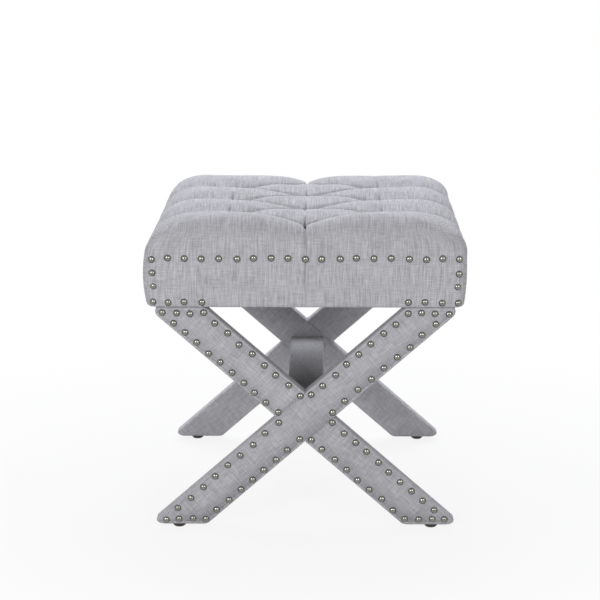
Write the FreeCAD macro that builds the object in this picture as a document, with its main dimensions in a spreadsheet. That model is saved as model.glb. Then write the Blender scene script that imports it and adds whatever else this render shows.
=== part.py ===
import FreeCAD, Part
import math
import os
import re
import Sketcher
from FreeCAD import Placement, Rotation, Vector

# A square upholstered ottoman: a tufted box seat on two X-shaped frames, front and rear, that a flat
# stretcher joins. The origin is on the floor under the middle of the seat, +Z up, the front towards -Y.
# All sizes are millimetres.

SIZES = {
    # Seat, as upholstered
    "seat_width": 496,
    "seat_depth": 502,
    "seat_height": 129.5,
    "side_draw": 2,
    "belly_draw": 0.6,
    "shoulder_radius": 38,
    "crown_rise": 6,
    "crown_run": 60,
    "corner_radius": 16,
    "cover_thickness": 2.5,
    "cover_turn_under": 24,
    "skirt_gap": 30,
    # Tufts and pleats
    "tuft_column": 121,
    "tuft_row": 64,
    "tuft_depth": 25,
    "tuft_width": 84,
    "pleat_depth": 15,
    "pleat_width": 66,
    "edge_pleat_depth": 19,
    "pillow_bulge": 4,
    "pleat_step": 3,
    "pleat_rise": 4,
    "pleat_lid": 24,
    "twine_diameter": 2,
    "twine_hole": 6,
    "twine_knot": 1,
    "toggle_diameter": 22,
    "toggle_thickness": 3,
    # Seat box
    "rail_thickness": 22,
    "rail_height": 82,
    "deck_thickness": 12,
    "rabbet_width": 11,
    "joint_clearance": 0.2,
    "slat_width": 60,
    "slat_thickness": 20,
    "block_leg": 45,
    "block_height": 46,
    "dust_cover_thickness": 1,
    "dust_cover_margin": 12,
    # X frames and stretcher
    "frame_height": 351,
    "foot_span": 472,
    "top_span": 463,
    "leg_spread": 398,
    "bar_width": 54.5,
    "bar_thickness": 21,
    "nose_radius": 14,
    "sleeve_thickness": 2.5,
    "sleeve_edge": 4,
    "stretcher_width": 54,
    "stretcher_thickness": 18,
    # Floor glides
    "glide_diameter": 20,
    "glide_height": 6,
    "glide_edge": 2,
    "glide_nail_diameter": 2.5,
    "glide_nail_head": 6,
    "glide_nail_length": 20,
    # Decorative nails
    "nail_head": 11,
    "nail_dome": 3.6,
    "nail_shank": 1.6,
    "nail_length": 12,
    "nail_inset": 8.5,
    "seat_nail_row": 78,
    "seat_nail_foot": 9,
    "seat_nail_pitch": 26,
    "long_nail_pitch": 26,
    "cross_nail_pitch": 24.5,
    "notch_gap": 4,
    # Dowels, screws, brackets and staples
    "dowel_diameter": 8,
    "dowel_length": 34,
    "rail_dowel_pitch": 34,
    "stretcher_dowel_pitch": 30,
    "dowel_bite": 9,
    "dowel_wall": 2,
    "screw_diameter": 4,
    "screw_head": 8,
    "screw_head_depth": 2.4,
    "screw_sink": 0.5,
    "deck_screw_length": 30,
    "deck_screw_spacing": 220,
    "slat_screw_length": 45,
    "slat_screw_pitch": 30,
    "block_screw_length": 34,
    "block_screw_offset": 14,
    "stretcher_screw_length": 75,
    "bracket_screw_length": 18,
    "bracket_screw_pitch": 16,
    "bracket_width": 36,
    "bracket_leg": 36,
    "bracket_thickness": 2.5,
    "bolt_diameter": 6,
    "bolt_length": 18,
    "bolt_head": 11,
    "bolt_head_depth": 3.5,
    "insert_diameter": 10,
    "insert_length": 13,
    "staple_crown": 10,
    "staple_leg": 8,
    "staple_wire": 0.8,
    "staple_inset": 5,
}

doc = FreeCAD.newDocument("ottoman")
sheet = doc.addObject("Spreadsheet::Sheet", "size")
for row, (alias, value) in enumerate(SIZES.items(), start=1):
    sheet.set(f"A{row}", alias)
    sheet.set(f"B{row}", str(value))
    sheet.setAlias(f"B{row}", alias)
doc.recompute()

# Places that several pieces share, as expressions of the sizes above
UNDERSIDE = "(glide_height + frame_height)"
CREST = f"({UNDERSIDE} + seat_height)"
BOX_X = "(seat_width / 2 - side_draw - cover_thickness)"
BOX_Y = "(seat_depth / 2 - side_draw - cover_thickness)"
BOX_BOTTOM = f"({UNDERSIDE} + cover_thickness)"
BOX_TOP = f"({BOX_BOTTOM} + rail_height)"
INNER_X = f"({BOX_X} - rail_thickness)"
INNER_Y = f"({BOX_Y} - rail_thickness)"
DECK_BOTTOM = f"({BOX_TOP} - deck_thickness)"
SLAT_TOP = f"({UNDERSIDE} + slat_thickness)"
TUFT_BOTTOM = f"({CREST} - tuft_depth)"
LEAN = "atan(frame_height / leg_spread)"
CROSSING = "(glide_height + frame_height / 2)"
BAR_LENGTH = "(sqrt(frame_height ^ 2 + leg_spread ^ 2) + 4 * bar_width)"
SLEEVE_WIDTH = "(bar_width + 2 * sleeve_thickness)"
SLEEVE_DEPTH = "(bar_thickness + 2 * sleeve_thickness)"
FRAME_Y = f"(seat_depth / 2 - side_draw - {SLEEVE_DEPTH} / 2)"
FRAME_INNER = f"({FRAME_Y} - bar_thickness / 2)"
SLEEVE_INNER = f"({FRAME_Y} - {SLEEVE_DEPTH} / 2)"
SLEEVE_OUTER = f"({FRAME_Y} + {SLEEVE_DEPTH} / 2)"
BRACKET_X = "(leg_spread / 2 - bracket_leg / 2)"
BRACKET_TOP = f"({UNDERSIDE} - dust_cover_thickness)"

FRONT, REAR = -1, 1
END_NAIL_GAPS = 3
FOOT_ROW_NAILS = 3
UP = Vector(0, 0, 1)


def sized(text):
    """An expression in which each size is named by its cell of the sheet."""
    return re.sub(r"[a-z_]+", lambda word: f"size.{word[0]}" if word[0] in SIZES else word[0], text)


def number(text):
    return float(sheet.evalExpression(sized(text)))


def bind(item, **expressions):
    for name, text in expressions.items():
        item.setExpression(name, sized(text))
    return item


def place(item, x="0", y="0", z="0"):
    for axis, text in (("x", x), ("y", y), ("z", z)):
        item.setExpression(f"Placement.Base.{axis}", sized(text))
    return item


def box(name, x, y, z):
    """A block between two expressions along each axis."""
    block = doc.addObject("Part::Box", name)
    bind(block, Length=f"{x[1]} - ({x[0]})", Width=f"{y[1]} - ({y[0]})", Height=f"{z[1]} - ({z[0]})")
    return place(block, x[0], y[0], z[0])


def rod(name, diameter, low, high):
    """An upright cylinder on the Z axis, between two heights."""
    cylinder = doc.addObject("Part::Cylinder", name)
    bind(cylinder, Radius=f"{diameter} / 2", Height=f"{high} - ({low})")
    return place(cylinder, z=low)


def outline(body, plane, points):
    """A closed outline on one of the body's own planes, each corner bound to two expressions."""
    sketch = body.newObject("Sketcher::SketchObject", body.Name + "_outline")
    support = next(item for item in body.Origin.OriginFeatures if item.Role == plane)
    sketch.AttachmentSupport = (support, [""])
    sketch.MapMode = "FlatFace"
    corners = [Vector(number(x), number(y), 0) for x, y in points]
    for i, corner in enumerate(corners):
        sketch.addGeometry(Part.LineSegment(corner, corners[(i + 1) % len(corners)]), False)
    for i, (corner, point) in enumerate(zip(corners, points)):
        sketch.addConstraint(Sketcher.Constraint("Coincident", i, 2, (i + 1) % len(corners), 1))
        across = sketch.addConstraint(Sketcher.Constraint("DistanceX", -1, 1, i, 1, corner.x))
        sketch.setExpression(f"Constraints[{across}]", sized(point[0]))
        along = sketch.addConstraint(Sketcher.Constraint("DistanceY", -1, 1, i, 1, corner.y))
        sketch.setExpression(f"Constraints[{along}]", sized(point[1]))
    return sketch


def padded(name, plane, points, depth):
    """A body padded from an outline, evenly to both sides of its plane."""
    body = doc.addObject("PartDesign::Body", name)
    pad = body.newObject("PartDesign::Pad", name + "_pad")
    pad.Profile = outline(body, plane, points)
    pad.SideType = "Symmetric"
    pad.setExpression("Length", sized(depth))
    return body


def turned(name, points):
    """A body turned about the Z axis from half of its section, drawn on the XZ plane."""
    body = doc.addObject("PartDesign::Body", name)
    sketch = outline(body, "XZ_Plane", points)
    turn = body.newObject("PartDesign::Revolution", name + "_turn")
    turn.Profile = sketch
    turn.ReferenceAxis = (sketch, ["V_Axis"])
    return body


def rounded(name, base, radius, wanted):
    """The base with its wanted edges rounded."""
    doc.recompute()
    fillet = doc.addObject("Part::Fillet", name)
    fillet.Base = base
    edges = enumerate(base.Shape.Edges, start=1)
    fillet.Edges = [(i, number(radius), number(radius)) for i, edge in edges if wanted(edge)]
    return fillet


def boolean(kind, name, base, tool):
    result = doc.addObject(kind, name)
    result.Base = base
    result.Tool = tool
    return result


def cut(name, base, *tools):
    """The base with its tools taken out, all at once."""
    if len(tools) == 1:
        return boolean("Part::Cut", name, base, tools[0])
    together = doc.addObject("Part::Compound", name + "_tools")
    together.Links = list(tools)
    return boolean("Part::Cut", name, base, together)


def shaped(name, shape):
    feature = doc.addObject("Part::Feature", name)
    feature.Shape = shape
    return feature


def copies(name, master, places):
    """One node of equal solids: the master's shape at each place."""
    doc.recompute()
    solids = []
    for where in places:
        solid = master.Shape.copy()
        solid.Placement = where.multiply(solid.Placement)
        solids.append(solid)
    return shaped(name, Part.makeCompound(solids))


def at(x, y, z, towards=UP):
    """The place at a point where a piece's own +Z points a given way."""
    return Placement(Vector(x, y, z), Rotation(UP, towards))


def four_corners(x, y, z, towards=UP):
    """Four places, at the corners of a rectangle about the Z axis."""
    return [at(i * x, j * y, z, towards) for i in (-1, 1) for j in (-1, 1)]


def half_turn(shape):
    """The same shape turned half way round the middle of the ottoman."""
    other = shape.copy()
    other.rotate(Vector(0, 0, 0), UP, 180)
    return other


# Fasteners: each master stands on the Z axis, its head at the top


def countersunk_screw(name, length):
    head = bind(doc.addObject("Part::Cone", name + "_head"),
                Radius1="screw_diameter / 2", Radius2="screw_head / 2", Height="screw_head_depth")
    place(head, z="-screw_head_depth")
    return boolean("Part::Fuse", name, head, rod(name + "_shank", "screw_diameter", f"-{length}",
                                                 "-screw_head_depth"))


def dome_nail(name):
    """A nail with a domed head: a cap cut from a ball, flat at its back, on a thin shank."""
    ball = "((nail_head ^ 2 / 4 + nail_dome ^ 2) / (2 * nail_dome))"
    cap = bind(doc.addObject("Part::Sphere", name + "_cap"), Radius=ball,
               Angle1=f"asin(({ball} - nail_dome) / {ball})")
    place(cap, z=f"nail_dome - {ball}")
    return boolean("Part::Fuse", name, cap, rod(name + "_shank", "nail_shank", "-nail_length", "0"))


# Seat cushion form


def seat_section(height, inset, radius):
    """A level outline of the seat: four straight sides and four corner arcs."""
    x = number("seat_width / 2") - inset
    y = number("seat_depth / 2") - inset
    bend = radius * (1 - 0.5 ** 0.5)
    edges = []
    for i, j, turn in ((1, 1, 0), (-1, 1, 1), (-1, -1, 0), (1, -1, 1)):
        ends = [Vector(i * x, j * (y - radius), height), Vector(i * (x - radius), j * y, height)]
        middle = Vector(i * (x - bend), j * (y - bend), height)
        first, last = (ends[1], ends[0]) if turn else (ends[0], ends[1])
        if edges:
            edges.append(Part.makeLine(edges[-1].Vertexes[-1].Point, first))
        edges.append(Part.Arc(first, middle, last).toShape())
    edges.append(Part.makeLine(edges[-1].Vertexes[-1].Point, edges[0].Vertexes[0].Point))
    return Part.Wire(edges)


def seat_body(inset):
    """The seat before tufting: sides drawn in at the foot, a rolled shoulder and a crowned top."""
    low = number(UNDERSIDE) + inset
    crest = number(CREST) - inset
    roll = number("shoulder_radius")
    shoulder = crest - number("crown_rise") - roll
    corner = number("corner_radius") - inset
    sections = [
        seat_section(low, inset + number("side_draw"), corner),
        seat_section((low + shoulder) / 2, inset + number("belly_draw"), corner),
        seat_section(shoulder, inset, corner),
    ]
    for share in (1 / 3, 2 / 3, 1):
        angle = math.radians(90 * share)
        run = roll * (1 - math.cos(angle))
        sections.append(seat_section(shoulder + roll * math.sin(angle), inset + run, corner + run / 2))
    run = roll + number("crown_run")
    sections.append(seat_section(crest, inset + run, corner + run / 2))
    return Part.makeLoft(sections, True, False)


def tuft_places():
    """The ten tufts of the diamond pattern: four down the middle, three to each side."""
    column, row = number("tuft_column"), number("tuft_row")
    middle = [Vector(0, k * row, 0) for k in (-3, -1, 1, 3)]
    return middle + [Vector(i * column, k * row, 0) for i in (-1, 1) for k in (-2, 0, 2)]


def flank(start, bottom, bulge):
    """The round side of a pillow, from its top down into a pleat."""
    chord = bottom - start
    swell = chord.cross(chord.cross(UP))
    swell = swell.normalize() * (-bulge if swell.z < 0 else bulge)
    return Part.Arc(start, (start + bottom) / 2 + swell, bottom).toShape()


def pleat_section(point, across, width, depth):
    """The section of a pleat: two round flanks that meet in a crease, closed well above the seat."""
    crest = number(CREST)
    middle = Vector(point.x, point.y, crest)
    rise = UP * number("pleat_rise")
    left = middle - across * (width / 2) + rise
    right = middle + across * (width / 2) + rise
    crease = middle - UP * depth
    bulge = number("pillow_bulge")
    lid = UP * number("pleat_lid")
    return Part.Wire([
        flank(left, crease, bulge),
        flank(right, crease, bulge),
        Part.makeLine(right, right + lid),
        Part.makeLine(right + lid, left + lid),
        Part.makeLine(left + lid, left),
    ])


def pleat(start, end, depths):
    """The cutter of one pleat, with its depths at the start, half way and at the end."""
    along = (end - start).normalize()
    across = along.cross(UP)
    points = [start, (start + end) / 2, end]
    width = number("pleat_width")
    return Part.makeLoft([pleat_section(p, across, width, d) for p, d in zip(points, depths)], True, False)


def tuft(point):
    """The cutter of one tuft: a round funnel with the same swelling sides."""
    crest = number(CREST)
    crease = Vector(point.x, point.y, crest - number("tuft_depth"))
    rim = Vector(point.x + number("tuft_width") / 2, point.y, crest + number("pleat_rise"))
    lid = UP * number("pleat_lid")
    top = Vector(point.x, point.y, rim.z) + lid
    half = Part.Wire([
        flank(rim, crease, number("pillow_bulge")),
        Part.makeLine(rim, rim + lid),
        Part.makeLine(rim + lid, top),
        Part.makeLine(top, crease),
    ])
    return Part.Face(half).revolve(point, UP, 360)


def tufting():
    """All the cutters: tufts, the diagonal pleats between them and the straight ones to the edges."""
    column, row = number("tuft_column"), number("tuft_row")
    step = number("pleat_step")
    at_tuft = number("tuft_depth") - step
    between = number("pleat_depth")
    edge = number("edge_pleat_depth")
    past_x = number("seat_width / 2 + corner_radius")
    past_y = number("seat_depth / 2 + corner_radius")
    cutters = [tuft(point) for point in tuft_places()]
    for i in (-1, 1):
        for k in (-2, 0, 2):
            side = Vector(i * column, k * row, 0)
            for neighbour in (k - 1, k + 1):
                middle = Vector(0, neighbour * row, 0)
                cutters.append(pleat(side, middle, (at_tuft, between, at_tuft)))
            cutters.append(pleat(side, Vector(i * past_x, k * row, 0), (at_tuft, edge, edge)))
        last_tuft, past_edge = Vector(0, 3 * i * row, 0), Vector(0, i * past_y, 0)
        cutters.append(pleat(last_tuft, past_edge, (at_tuft, edge + step, edge + 2 * step)))
    return cutters


cutters = tufting()
all_tufting = cutters[0].multiFuse(cutters[1:])


def tufted(inset):
    return seat_body(inset).cut(all_tufting.translated(Vector(0, 0, -inset)))


outer_form = shaped("seat_outer_form", tufted(0))
inner_form = shaped("seat_inner_form", tufted(number("cover_thickness")))

# Decorative nails


def seat_nail_places():
    """Nails round the front face: a full top row, two columns and a short row inward at each foot."""
    half = number(f"{BOX_X} + cover_thickness - nail_inset")
    foot = number(f"{UNDERSIDE} + seat_nail_foot")
    top = number(f"{UNDERSIDE} + seat_nail_row")
    pitch = number("seat_nail_pitch")
    gaps = round(2 * half / pitch)
    spots = [(-half + 2 * half * i / gaps, top) for i in range(gaps + 1)]
    rises = round((top - foot) / pitch)
    for side in (-1, 1):
        spots += [(side * half, foot + (top - foot) * i / rises) for i in range(rises)]
        spots += [(side * (half - pitch * (i + 1)), foot) for i in range(FOOT_ROW_NAILS)]
    seat = seat_body(0)
    places = []
    for x, z in spots:
        near = Vector(x, -number("seat_depth / 2 + nail_dome"), z)
        spot = seat.distToShape(Part.Vertex(near))[1][0][0]
        places.append(at(*spot, near - spot))
    return places


def evenly(start, end, gaps):
    """Points at even steps from one point to another, both included."""
    return [start + (end - start) * (i / gaps) for i in range(gaps + 1)]


def arm_nails(pitch):
    """Nails round one arm, from the crossing: along both edges and across the end."""
    slope = number("frame_height / leg_spread")
    along = Vector(1, 0, slope).normalize()
    across = Vector(-along.z, 0, along.x)
    edge = number(f"{SLEEVE_WIDTH} / 2")
    line = across * (edge - number("nail_inset"))
    reach = number("frame_height / 2 - nail_inset")
    gap = number("notch_gap")
    inner_end = line + along * ((reach - line.z) / along.z)
    outer_end = along * ((reach + line.z) / along.z) - line
    outer_end.x = min(outer_end.x, number("top_span / 2 - nail_inset - nail_head / 4"))
    inner_start = line + along * (edge * slope + gap)
    outer_start = along * (edge / slope + gap) - line
    points = evenly(inner_end, outer_end, END_NAIL_GAPS)[1:-1]
    for start, end in ((inner_start, inner_end), (outer_start, outer_end)):
        points += evenly(start, end, round((end - start).Length / pitch))
    return points


def leg_nail_places():
    """Nails on the four arms of the front X."""
    face = number(f"-{SLEEVE_OUTER}")
    middle = number(CROSSING)
    places = []
    for right in (-1, 1):
        for up in (-1, 1):
            pitch = number("long_nail_pitch" if right == up else "cross_nail_pitch")
            places += [at(right * point.x, face, middle + up * point.z, Vector(0, -1, 0))
                       for point in arm_nails(pitch)]
    return places


nail = dome_nail("dome_nail")
nail_hole = rod("nail_hole", "nail_shank", "-nail_length", "nail_dome")
front_seat_nails = copies("front_seat_nails", nail, seat_nail_places())
rear_seat_nails = shaped("rear_seat_nails", half_turn(front_seat_nails.Shape))
front_leg_nails = copies("front_leg_nails", nail, leg_nail_places())
rear_leg_nails = shaped("rear_leg_nails", half_turn(front_leg_nails.Shape))
front_seat_holes = copies("front_seat_holes", nail_hole, seat_nail_places())
rear_seat_holes = shaped("rear_seat_holes", half_turn(front_seat_holes.Shape))
front_leg_holes = copies("front_leg_holes", nail_hole, leg_nail_places())
rear_leg_holes = shaped("rear_leg_holes", half_turn(front_leg_holes.Shape))

# Dowels and screws

across_y = Vector(0, 1, 0)
dowel = rod("dowel", "dowel_diameter", "0", "dowel_length")
leg_dowels = copies("leg_dowels", dowel, four_corners(
    number("leg_spread / 2"), number(f"{FRAME_INNER} + dowel_wall + dowel_diameter / 2"),
    number(f"{UNDERSIDE} - dowel_length / 2")))


def mirrored_along_y(x, y, z, inward):
    """Two places facing each other from the front and the rear, pointing inward or outward."""
    return [at(x, side * y, z, across_y * (-side if inward else side)) for side in (FRONT, REAR)]


rail_dowel_places = []
for x in (-1, 1):
    for step in (-1, 1):
        rail_dowel_places += mirrored_along_y(
            x * number(f"{INNER_X} + rail_thickness / 2"), number(f"{INNER_Y} + dowel_bite"),
            number(f"({BOX_BOTTOM} + {DECK_BOTTOM}) / 2") + step * number("rail_dowel_pitch / 2"), True)
rail_dowels = copies("rail_dowels", dowel, rail_dowel_places)

stretcher_dowel_places = []
for step in (-1, 1):
    stretcher_dowel_places += mirrored_along_y(
        step * number("stretcher_dowel_pitch / 2"), number(f"{FRAME_INNER} + dowel_bite"),
        number(CROSSING), True)
stretcher_dowels = copies("stretcher_dowels", dowel, stretcher_dowel_places)

stretcher_screw = countersunk_screw("stretcher_screw", "stretcher_screw_length")
stretcher_screws = copies("stretcher_screws", stretcher_screw, mirrored_along_y(
    0, number(f"{FRAME_Y} + bar_thickness / 2"), number(CROSSING), False))

deck_screw = countersunk_screw("deck_screw", "deck_screw_length")
spread = number("deck_screw_spacing / 2")
ledge_x = number(f"{INNER_X} + rabbet_width / 2")
ledge_y = number(f"{INNER_Y} + rabbet_width / 2")
deck_screws = copies("deck_screws", deck_screw, four_corners(spread, ledge_y, number(BOX_TOP))
                     + four_corners(ledge_x, spread, number(BOX_TOP)))

slat_screw = countersunk_screw("slat_screw", "slat_screw_length")
slat_screw_places = []
for side in (-1, 1):
    for end in (FRONT, REAR):
        for step in (-1, 1):
            along_slat = end * number(f"{INNER_Y} - slat_width / 2") + step * number("slat_screw_pitch / 2")
            slat_screw_places.append(at(side * number(f"{BOX_X} - screw_sink"), along_slat,
                                        number(f"({BOX_BOTTOM} + {SLAT_TOP}) / 2"), Vector(side, 0, 0)))
slat_screws = copies("slat_screws", slat_screw, slat_screw_places)

block_screw = countersunk_screw("block_screw", "block_screw_length")
block_screw_places = []
for x in (-1, 1):
    for y in (-1, 1):
        inset = number("block_screw_offset")
        depth = number("block_leg - block_screw_offset - screw_head / 2")
        corner_x, corner_y = number(INNER_X), number(INNER_Y)
        middle = number(f"{SLAT_TOP} + block_height / 2")
        low, high = middle - number("screw_head"), middle + number("screw_head")
        block_screw_places += [
            at(x * (corner_x - inset), y * (corner_y - depth), high, Vector(0, -y, 0)),
            at(x * (corner_x - depth), y * (corner_y - inset), low, Vector(-x, 0, 0)),
        ]
corner_block_screws = copies("corner_block_screws", block_screw, block_screw_places)

bracket_screw = countersunk_screw("bracket_screw", "bracket_screw_length")
bracket_screw_places = []
for x in (-1, 1):
    for step in (-1, 1):
        bracket_screw_places += mirrored_along_y(
            x * number(BRACKET_X), number(f"{SLEEVE_INNER} - bracket_thickness"),
            number(f"{BRACKET_TOP} - bracket_leg / 2") + step * number("bracket_screw_pitch / 2"), True)
bracket_screws = copies("bracket_screws", bracket_screw, bracket_screw_places)

# Bolts and the threaded inserts that they run into

bolt = boolean("Part::Fuse", "bolt", rod("bolt_shank", "bolt_diameter", "0", "bolt_length"),
               rod("bolt_head_form", "bolt_head", "-bolt_head_depth", "0"))
bolt_x = number(BRACKET_X)
bolt_y = number(f"{SLEEVE_INNER} - bracket_leg / 2 - bracket_thickness / 2")
bracket_bolts = copies("bracket_bolts", bolt, four_corners(
    bolt_x, bolt_y, number(f"{BRACKET_TOP} - bracket_thickness")))

insert = cut("insert", rod("insert_barrel", "insert_diameter", "0", "insert_length"),
             rod("insert_thread", "bolt_diameter", "0", "insert_length"))
threaded_inserts = copies("threaded_inserts", insert, four_corners(bolt_x, bolt_y, number(UNDERSIDE)))
insert_bores = copies("insert_bores", rod("insert_bore", "insert_diameter", "0", "insert_length"),
                      four_corners(bolt_x, bolt_y, number(UNDERSIDE)))
bolt_bores = copies("bolt_bores", rod("bolt_bore", "bolt_diameter", "0", "bolt_length"), four_corners(
    bolt_x, bolt_y, number(f"{BRACKET_TOP} - bracket_thickness")))

# Angle brackets, their upright flange on the inner face of an arm and the other one under the seat

bracket = padded("bracket", "YZ_Plane", [
    ("0", "0"), ("0", "-bracket_leg"), ("bracket_thickness", "-bracket_leg"),
    ("bracket_thickness", "-bracket_thickness"), ("bracket_leg", "-bracket_thickness"), ("bracket_leg", "0"),
], "bracket_width")
bracket_places = []
for x in (-1, 1):
    for side in (FRONT, REAR):
        turn = Rotation(UP, 0 if side == FRONT else 180)
        bracket_places.append(Placement(
            Vector(x * bolt_x, side * number(SLEEVE_INNER), number(BRACKET_TOP)), turn))
bracket_blanks = copies("bracket_blanks", bracket, bracket_places)
leg_brackets = cut("leg_brackets", bracket_blanks, bracket_screws, bolt_bores)

# Floor glides

glide_nail = boolean("Part::Fuse", "glide_nail",
                     rod("glide_nail_shank", "glide_nail_diameter", "0", "glide_nail_length"),
                     rod("glide_nail_plate", "glide_nail_head", "-glide_edge", "0"))
glide = turned("glide", [
    ("0", "0"), ("glide_diameter / 2 - glide_edge", "0"), ("glide_diameter / 2", "glide_edge"),
    ("glide_diameter / 2", "glide_height"), ("0", "glide_height"),
])
glide_spots = (number("leg_spread / 2"), number(FRAME_Y))
glide_nails = copies("glide_nails", glide_nail, four_corners(*glide_spots, number("glide_height / 2")))
glide_blanks = copies("glide_blanks", glide, four_corners(*glide_spots, 0))
glide_pads = cut("glide_pads", glide_blanks, glide_nails)

# Twine through each tuft, held by a toggle under the deck

toggle_bottom = f"{DECK_BOTTOM} - toggle_thickness"
tuft_spots = [at(point.x, point.y, number(toggle_bottom)) for point in tuft_places()]
twine = rod("twine", "twine_diameter", "0", f"{TUFT_BOTTOM} + twine_knot - ({toggle_bottom})")
tuft_twines = copies("tuft_twines", twine, tuft_spots)
toggle_blanks = copies("toggle_blanks", rod("toggle", "toggle_diameter", "0", "toggle_thickness"), tuft_spots)
tuft_toggles = cut("tuft_toggles", toggle_blanks, tuft_twines)
twine_bores = copies("twine_bores", rod("twine_bore", "twine_hole", "0", "toggle_thickness + deck_thickness"),
                     tuft_spots)

# Staples of the dust cover, into the side rails and the slats


def staple_form():
    wire = number("staple_wire")
    crown = number("staple_crown")
    bar = Part.makeBox(crown, wire, wire, Vector(-crown / 2, -wire / 2, -wire))
    legs = [Part.makeBox(wire, wire, number("staple_leg"), Vector(x, -wire / 2, 0))
            for x in (-crown / 2, crown / 2 - wire)]
    return bar.multiFuse(legs).removeSplitter()


DUST_X = f"({BOX_X} + cover_thickness - dust_cover_margin)"
DUST_Y = f"({SLEEVE_INNER} - joint_clearance)"
DUST_BOTTOM = f"({UNDERSIDE} - dust_cover_thickness)"
staple_places = []
for i in (-2, -1, 0, 1, 2):
    for side in (-1, 1):
        low = number(DUST_BOTTOM)
        run_y = i * number(f"({DUST_Y} - bracket_leg) / 2.5")
        run_x = i * number(f"({BRACKET_X} - bracket_width) / 2.5")
        staple_places.append(Placement(
            Vector(side * number(f"{DUST_X} - staple_inset"), run_y, low), Rotation(UP, 90)))
        staple_places.append(Placement(
            Vector(run_x, side * number(f"{DUST_Y} - staple_inset"), low), Rotation(UP, 0)))
dust_cover_staples = copies("dust_cover_staples", shaped("staple", staple_form()), staple_places)

# Seat box: four rails, the deck let into their top edges, corner blocks and slats

deck_blank = box("deck_blank", (f"-{INNER_X} - rabbet_width", f"{INNER_X} + rabbet_width"),
                 (f"-{INNER_Y} - rabbet_width", f"{INNER_Y} + rabbet_width"), (DECK_BOTTOM, BOX_TOP))
seat_deck = cut("seat_deck", deck_blank, deck_screws, twine_bores, front_seat_holes, rear_seat_holes)
DECK_ROOM = "(rabbet_width + joint_clearance)"
deck_room = box("deck_room", (f"-{INNER_X} - {DECK_ROOM}", f"{INNER_X} + {DECK_ROOM}"),
                (f"-{INNER_Y} - {DECK_ROOM}", f"{INNER_Y} + {DECK_ROOM}"), (DECK_BOTTOM, CREST))


def end_rail(side, nail_holes):
    """The front or rear rail, full width, with its two outer corners rounded under the cover."""
    name = "seat_front_rail" if side == FRONT else "seat_rear_rail"
    ends = (f"-{BOX_Y}", f"-{INNER_Y}") if side == FRONT else (INNER_Y, BOX_Y)
    blank = box(name + "_blank", (f"-{BOX_X}", BOX_X), ends, (BOX_BOTTOM, BOX_TOP))
    face = side * number(BOX_Y)
    soft = rounded(name + "_soft", blank, "corner_radius", lambda edge: (
        all(abs(vertex.Y - face) < 0.01 for vertex in edge.Vertexes)
        and abs(edge.Vertexes[0].X - edge.Vertexes[1].X) < 0.01))
    seated = cut(name + "_rabbet", soft, deck_room)
    return cut(name, seated, nail_holes, rail_dowels, deck_screws, leg_dowels, corner_block_screws)


def side_rail(side):
    """The left or right rail, between the front and the rear one."""
    name = "seat_left_rail" if side < 0 else "seat_right_rail"
    ends = (f"-{BOX_X}", f"-{INNER_X}") if side < 0 else (INNER_X, BOX_X)
    blank = box(name + "_blank", ends, (f"-{INNER_Y}", INNER_Y), (BOX_BOTTOM, BOX_TOP))
    seated = cut(name + "_rabbet", blank, deck_room)
    return cut(name, seated, rail_dowels, deck_screws, slat_screws, corner_block_screws, dust_cover_staples)


seat_front_rail = end_rail(FRONT, front_seat_holes)
seat_rear_rail = end_rail(REAR, rear_seat_holes)
seat_left_rail = side_rail(-1)
seat_right_rail = side_rail(1)


def leg_slat(side):
    name = "front_leg_slat" if side == FRONT else "rear_leg_slat"
    ends = (INNER_Y, f"({INNER_Y} - slat_width)")
    low, high = (f"-{ends[0]}", f"-{ends[1]}") if side == FRONT else (ends[1], ends[0])
    blank = box(name + "_blank", (f"-{INNER_X}", INNER_X), (low, high), (UNDERSIDE, SLAT_TOP))
    return cut(name, blank, slat_screws, insert_bores, bolt_bores, dust_cover_staples)


front_leg_slat = leg_slat(FRONT)
rear_leg_slat = leg_slat(REAR)

block = padded("block", "XY_Plane", [("0", "0"), ("block_leg", "0"), ("0", "block_leg")], "block_height")
block_places = []
for x, y, turn in ((-1, -1, 0), (1, -1, 90), (1, 1, 180), (-1, 1, 270)):
    block_places.append(Placement(
        Vector(x * number(INNER_X), y * number(INNER_Y), number(f"{SLAT_TOP} + block_height / 2")),
        Rotation(UP, turn)))
block_blanks = copies("block_blanks", block, block_places)
well = boolean("Part::Fuse", "well", rod("well_mouth", "screw_head", "-screw_head_depth", "block_leg"),
               rod("well_bore", "screw_diameter", "-block_screw_length", "0"))
corner_blocks = cut("corner_blocks", block_blanks, copies("screw_wells", well, block_screw_places))

dust_blank = box("dust_blank", (f"-{DUST_X}", DUST_X), (f"-{DUST_Y}", DUST_Y), (DUST_BOTTOM, UNDERSIDE))
dust_cover = cut("dust_cover", dust_blank, dust_cover_staples, bolt_bores)

# Seat cover and foam: the tufted form, hollowed for the foam and the wooden box

TURN_X = f"({BOX_X} + cover_thickness - cover_turn_under)"
TURN_Y = f"({BOX_Y} + cover_thickness - cover_turn_under)"
underside_hole = box("underside_hole", (f"-{TURN_X}", TURN_X), (f"-{TURN_Y}", TURN_Y),
                     (UNDERSIDE, BOX_BOTTOM))
cover_hollow = cut("cover_hollow", outer_form, inner_form)
cover_open = cut("cover_open", cover_hollow, underside_hole)
seat_cover = cut("seat_cover", cover_open, front_seat_holes, rear_seat_holes, leg_dowels, tuft_twines,
                 dust_cover_staples)

box_room = box("box_room", (f"-{BOX_X}", BOX_X), (f"-{BOX_Y}", BOX_Y), (UNDERSIDE, BOX_TOP))
skirt_room = box("skirt_room", ("-seat_width", "seat_width"), ("-seat_depth", "seat_depth"),
                 (UNDERSIDE, f"{BOX_BOTTOM} + skirt_gap"))
foam_open = cut("foam_open", cut("foam_cap", inner_form, box_room), skirt_room)
seat_foam = cut("seat_foam", foam_open, front_seat_holes, rear_seat_holes, tuft_twines)

# X frames: a bar whose cover runs through the crossing, and one that is lapped into it


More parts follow.
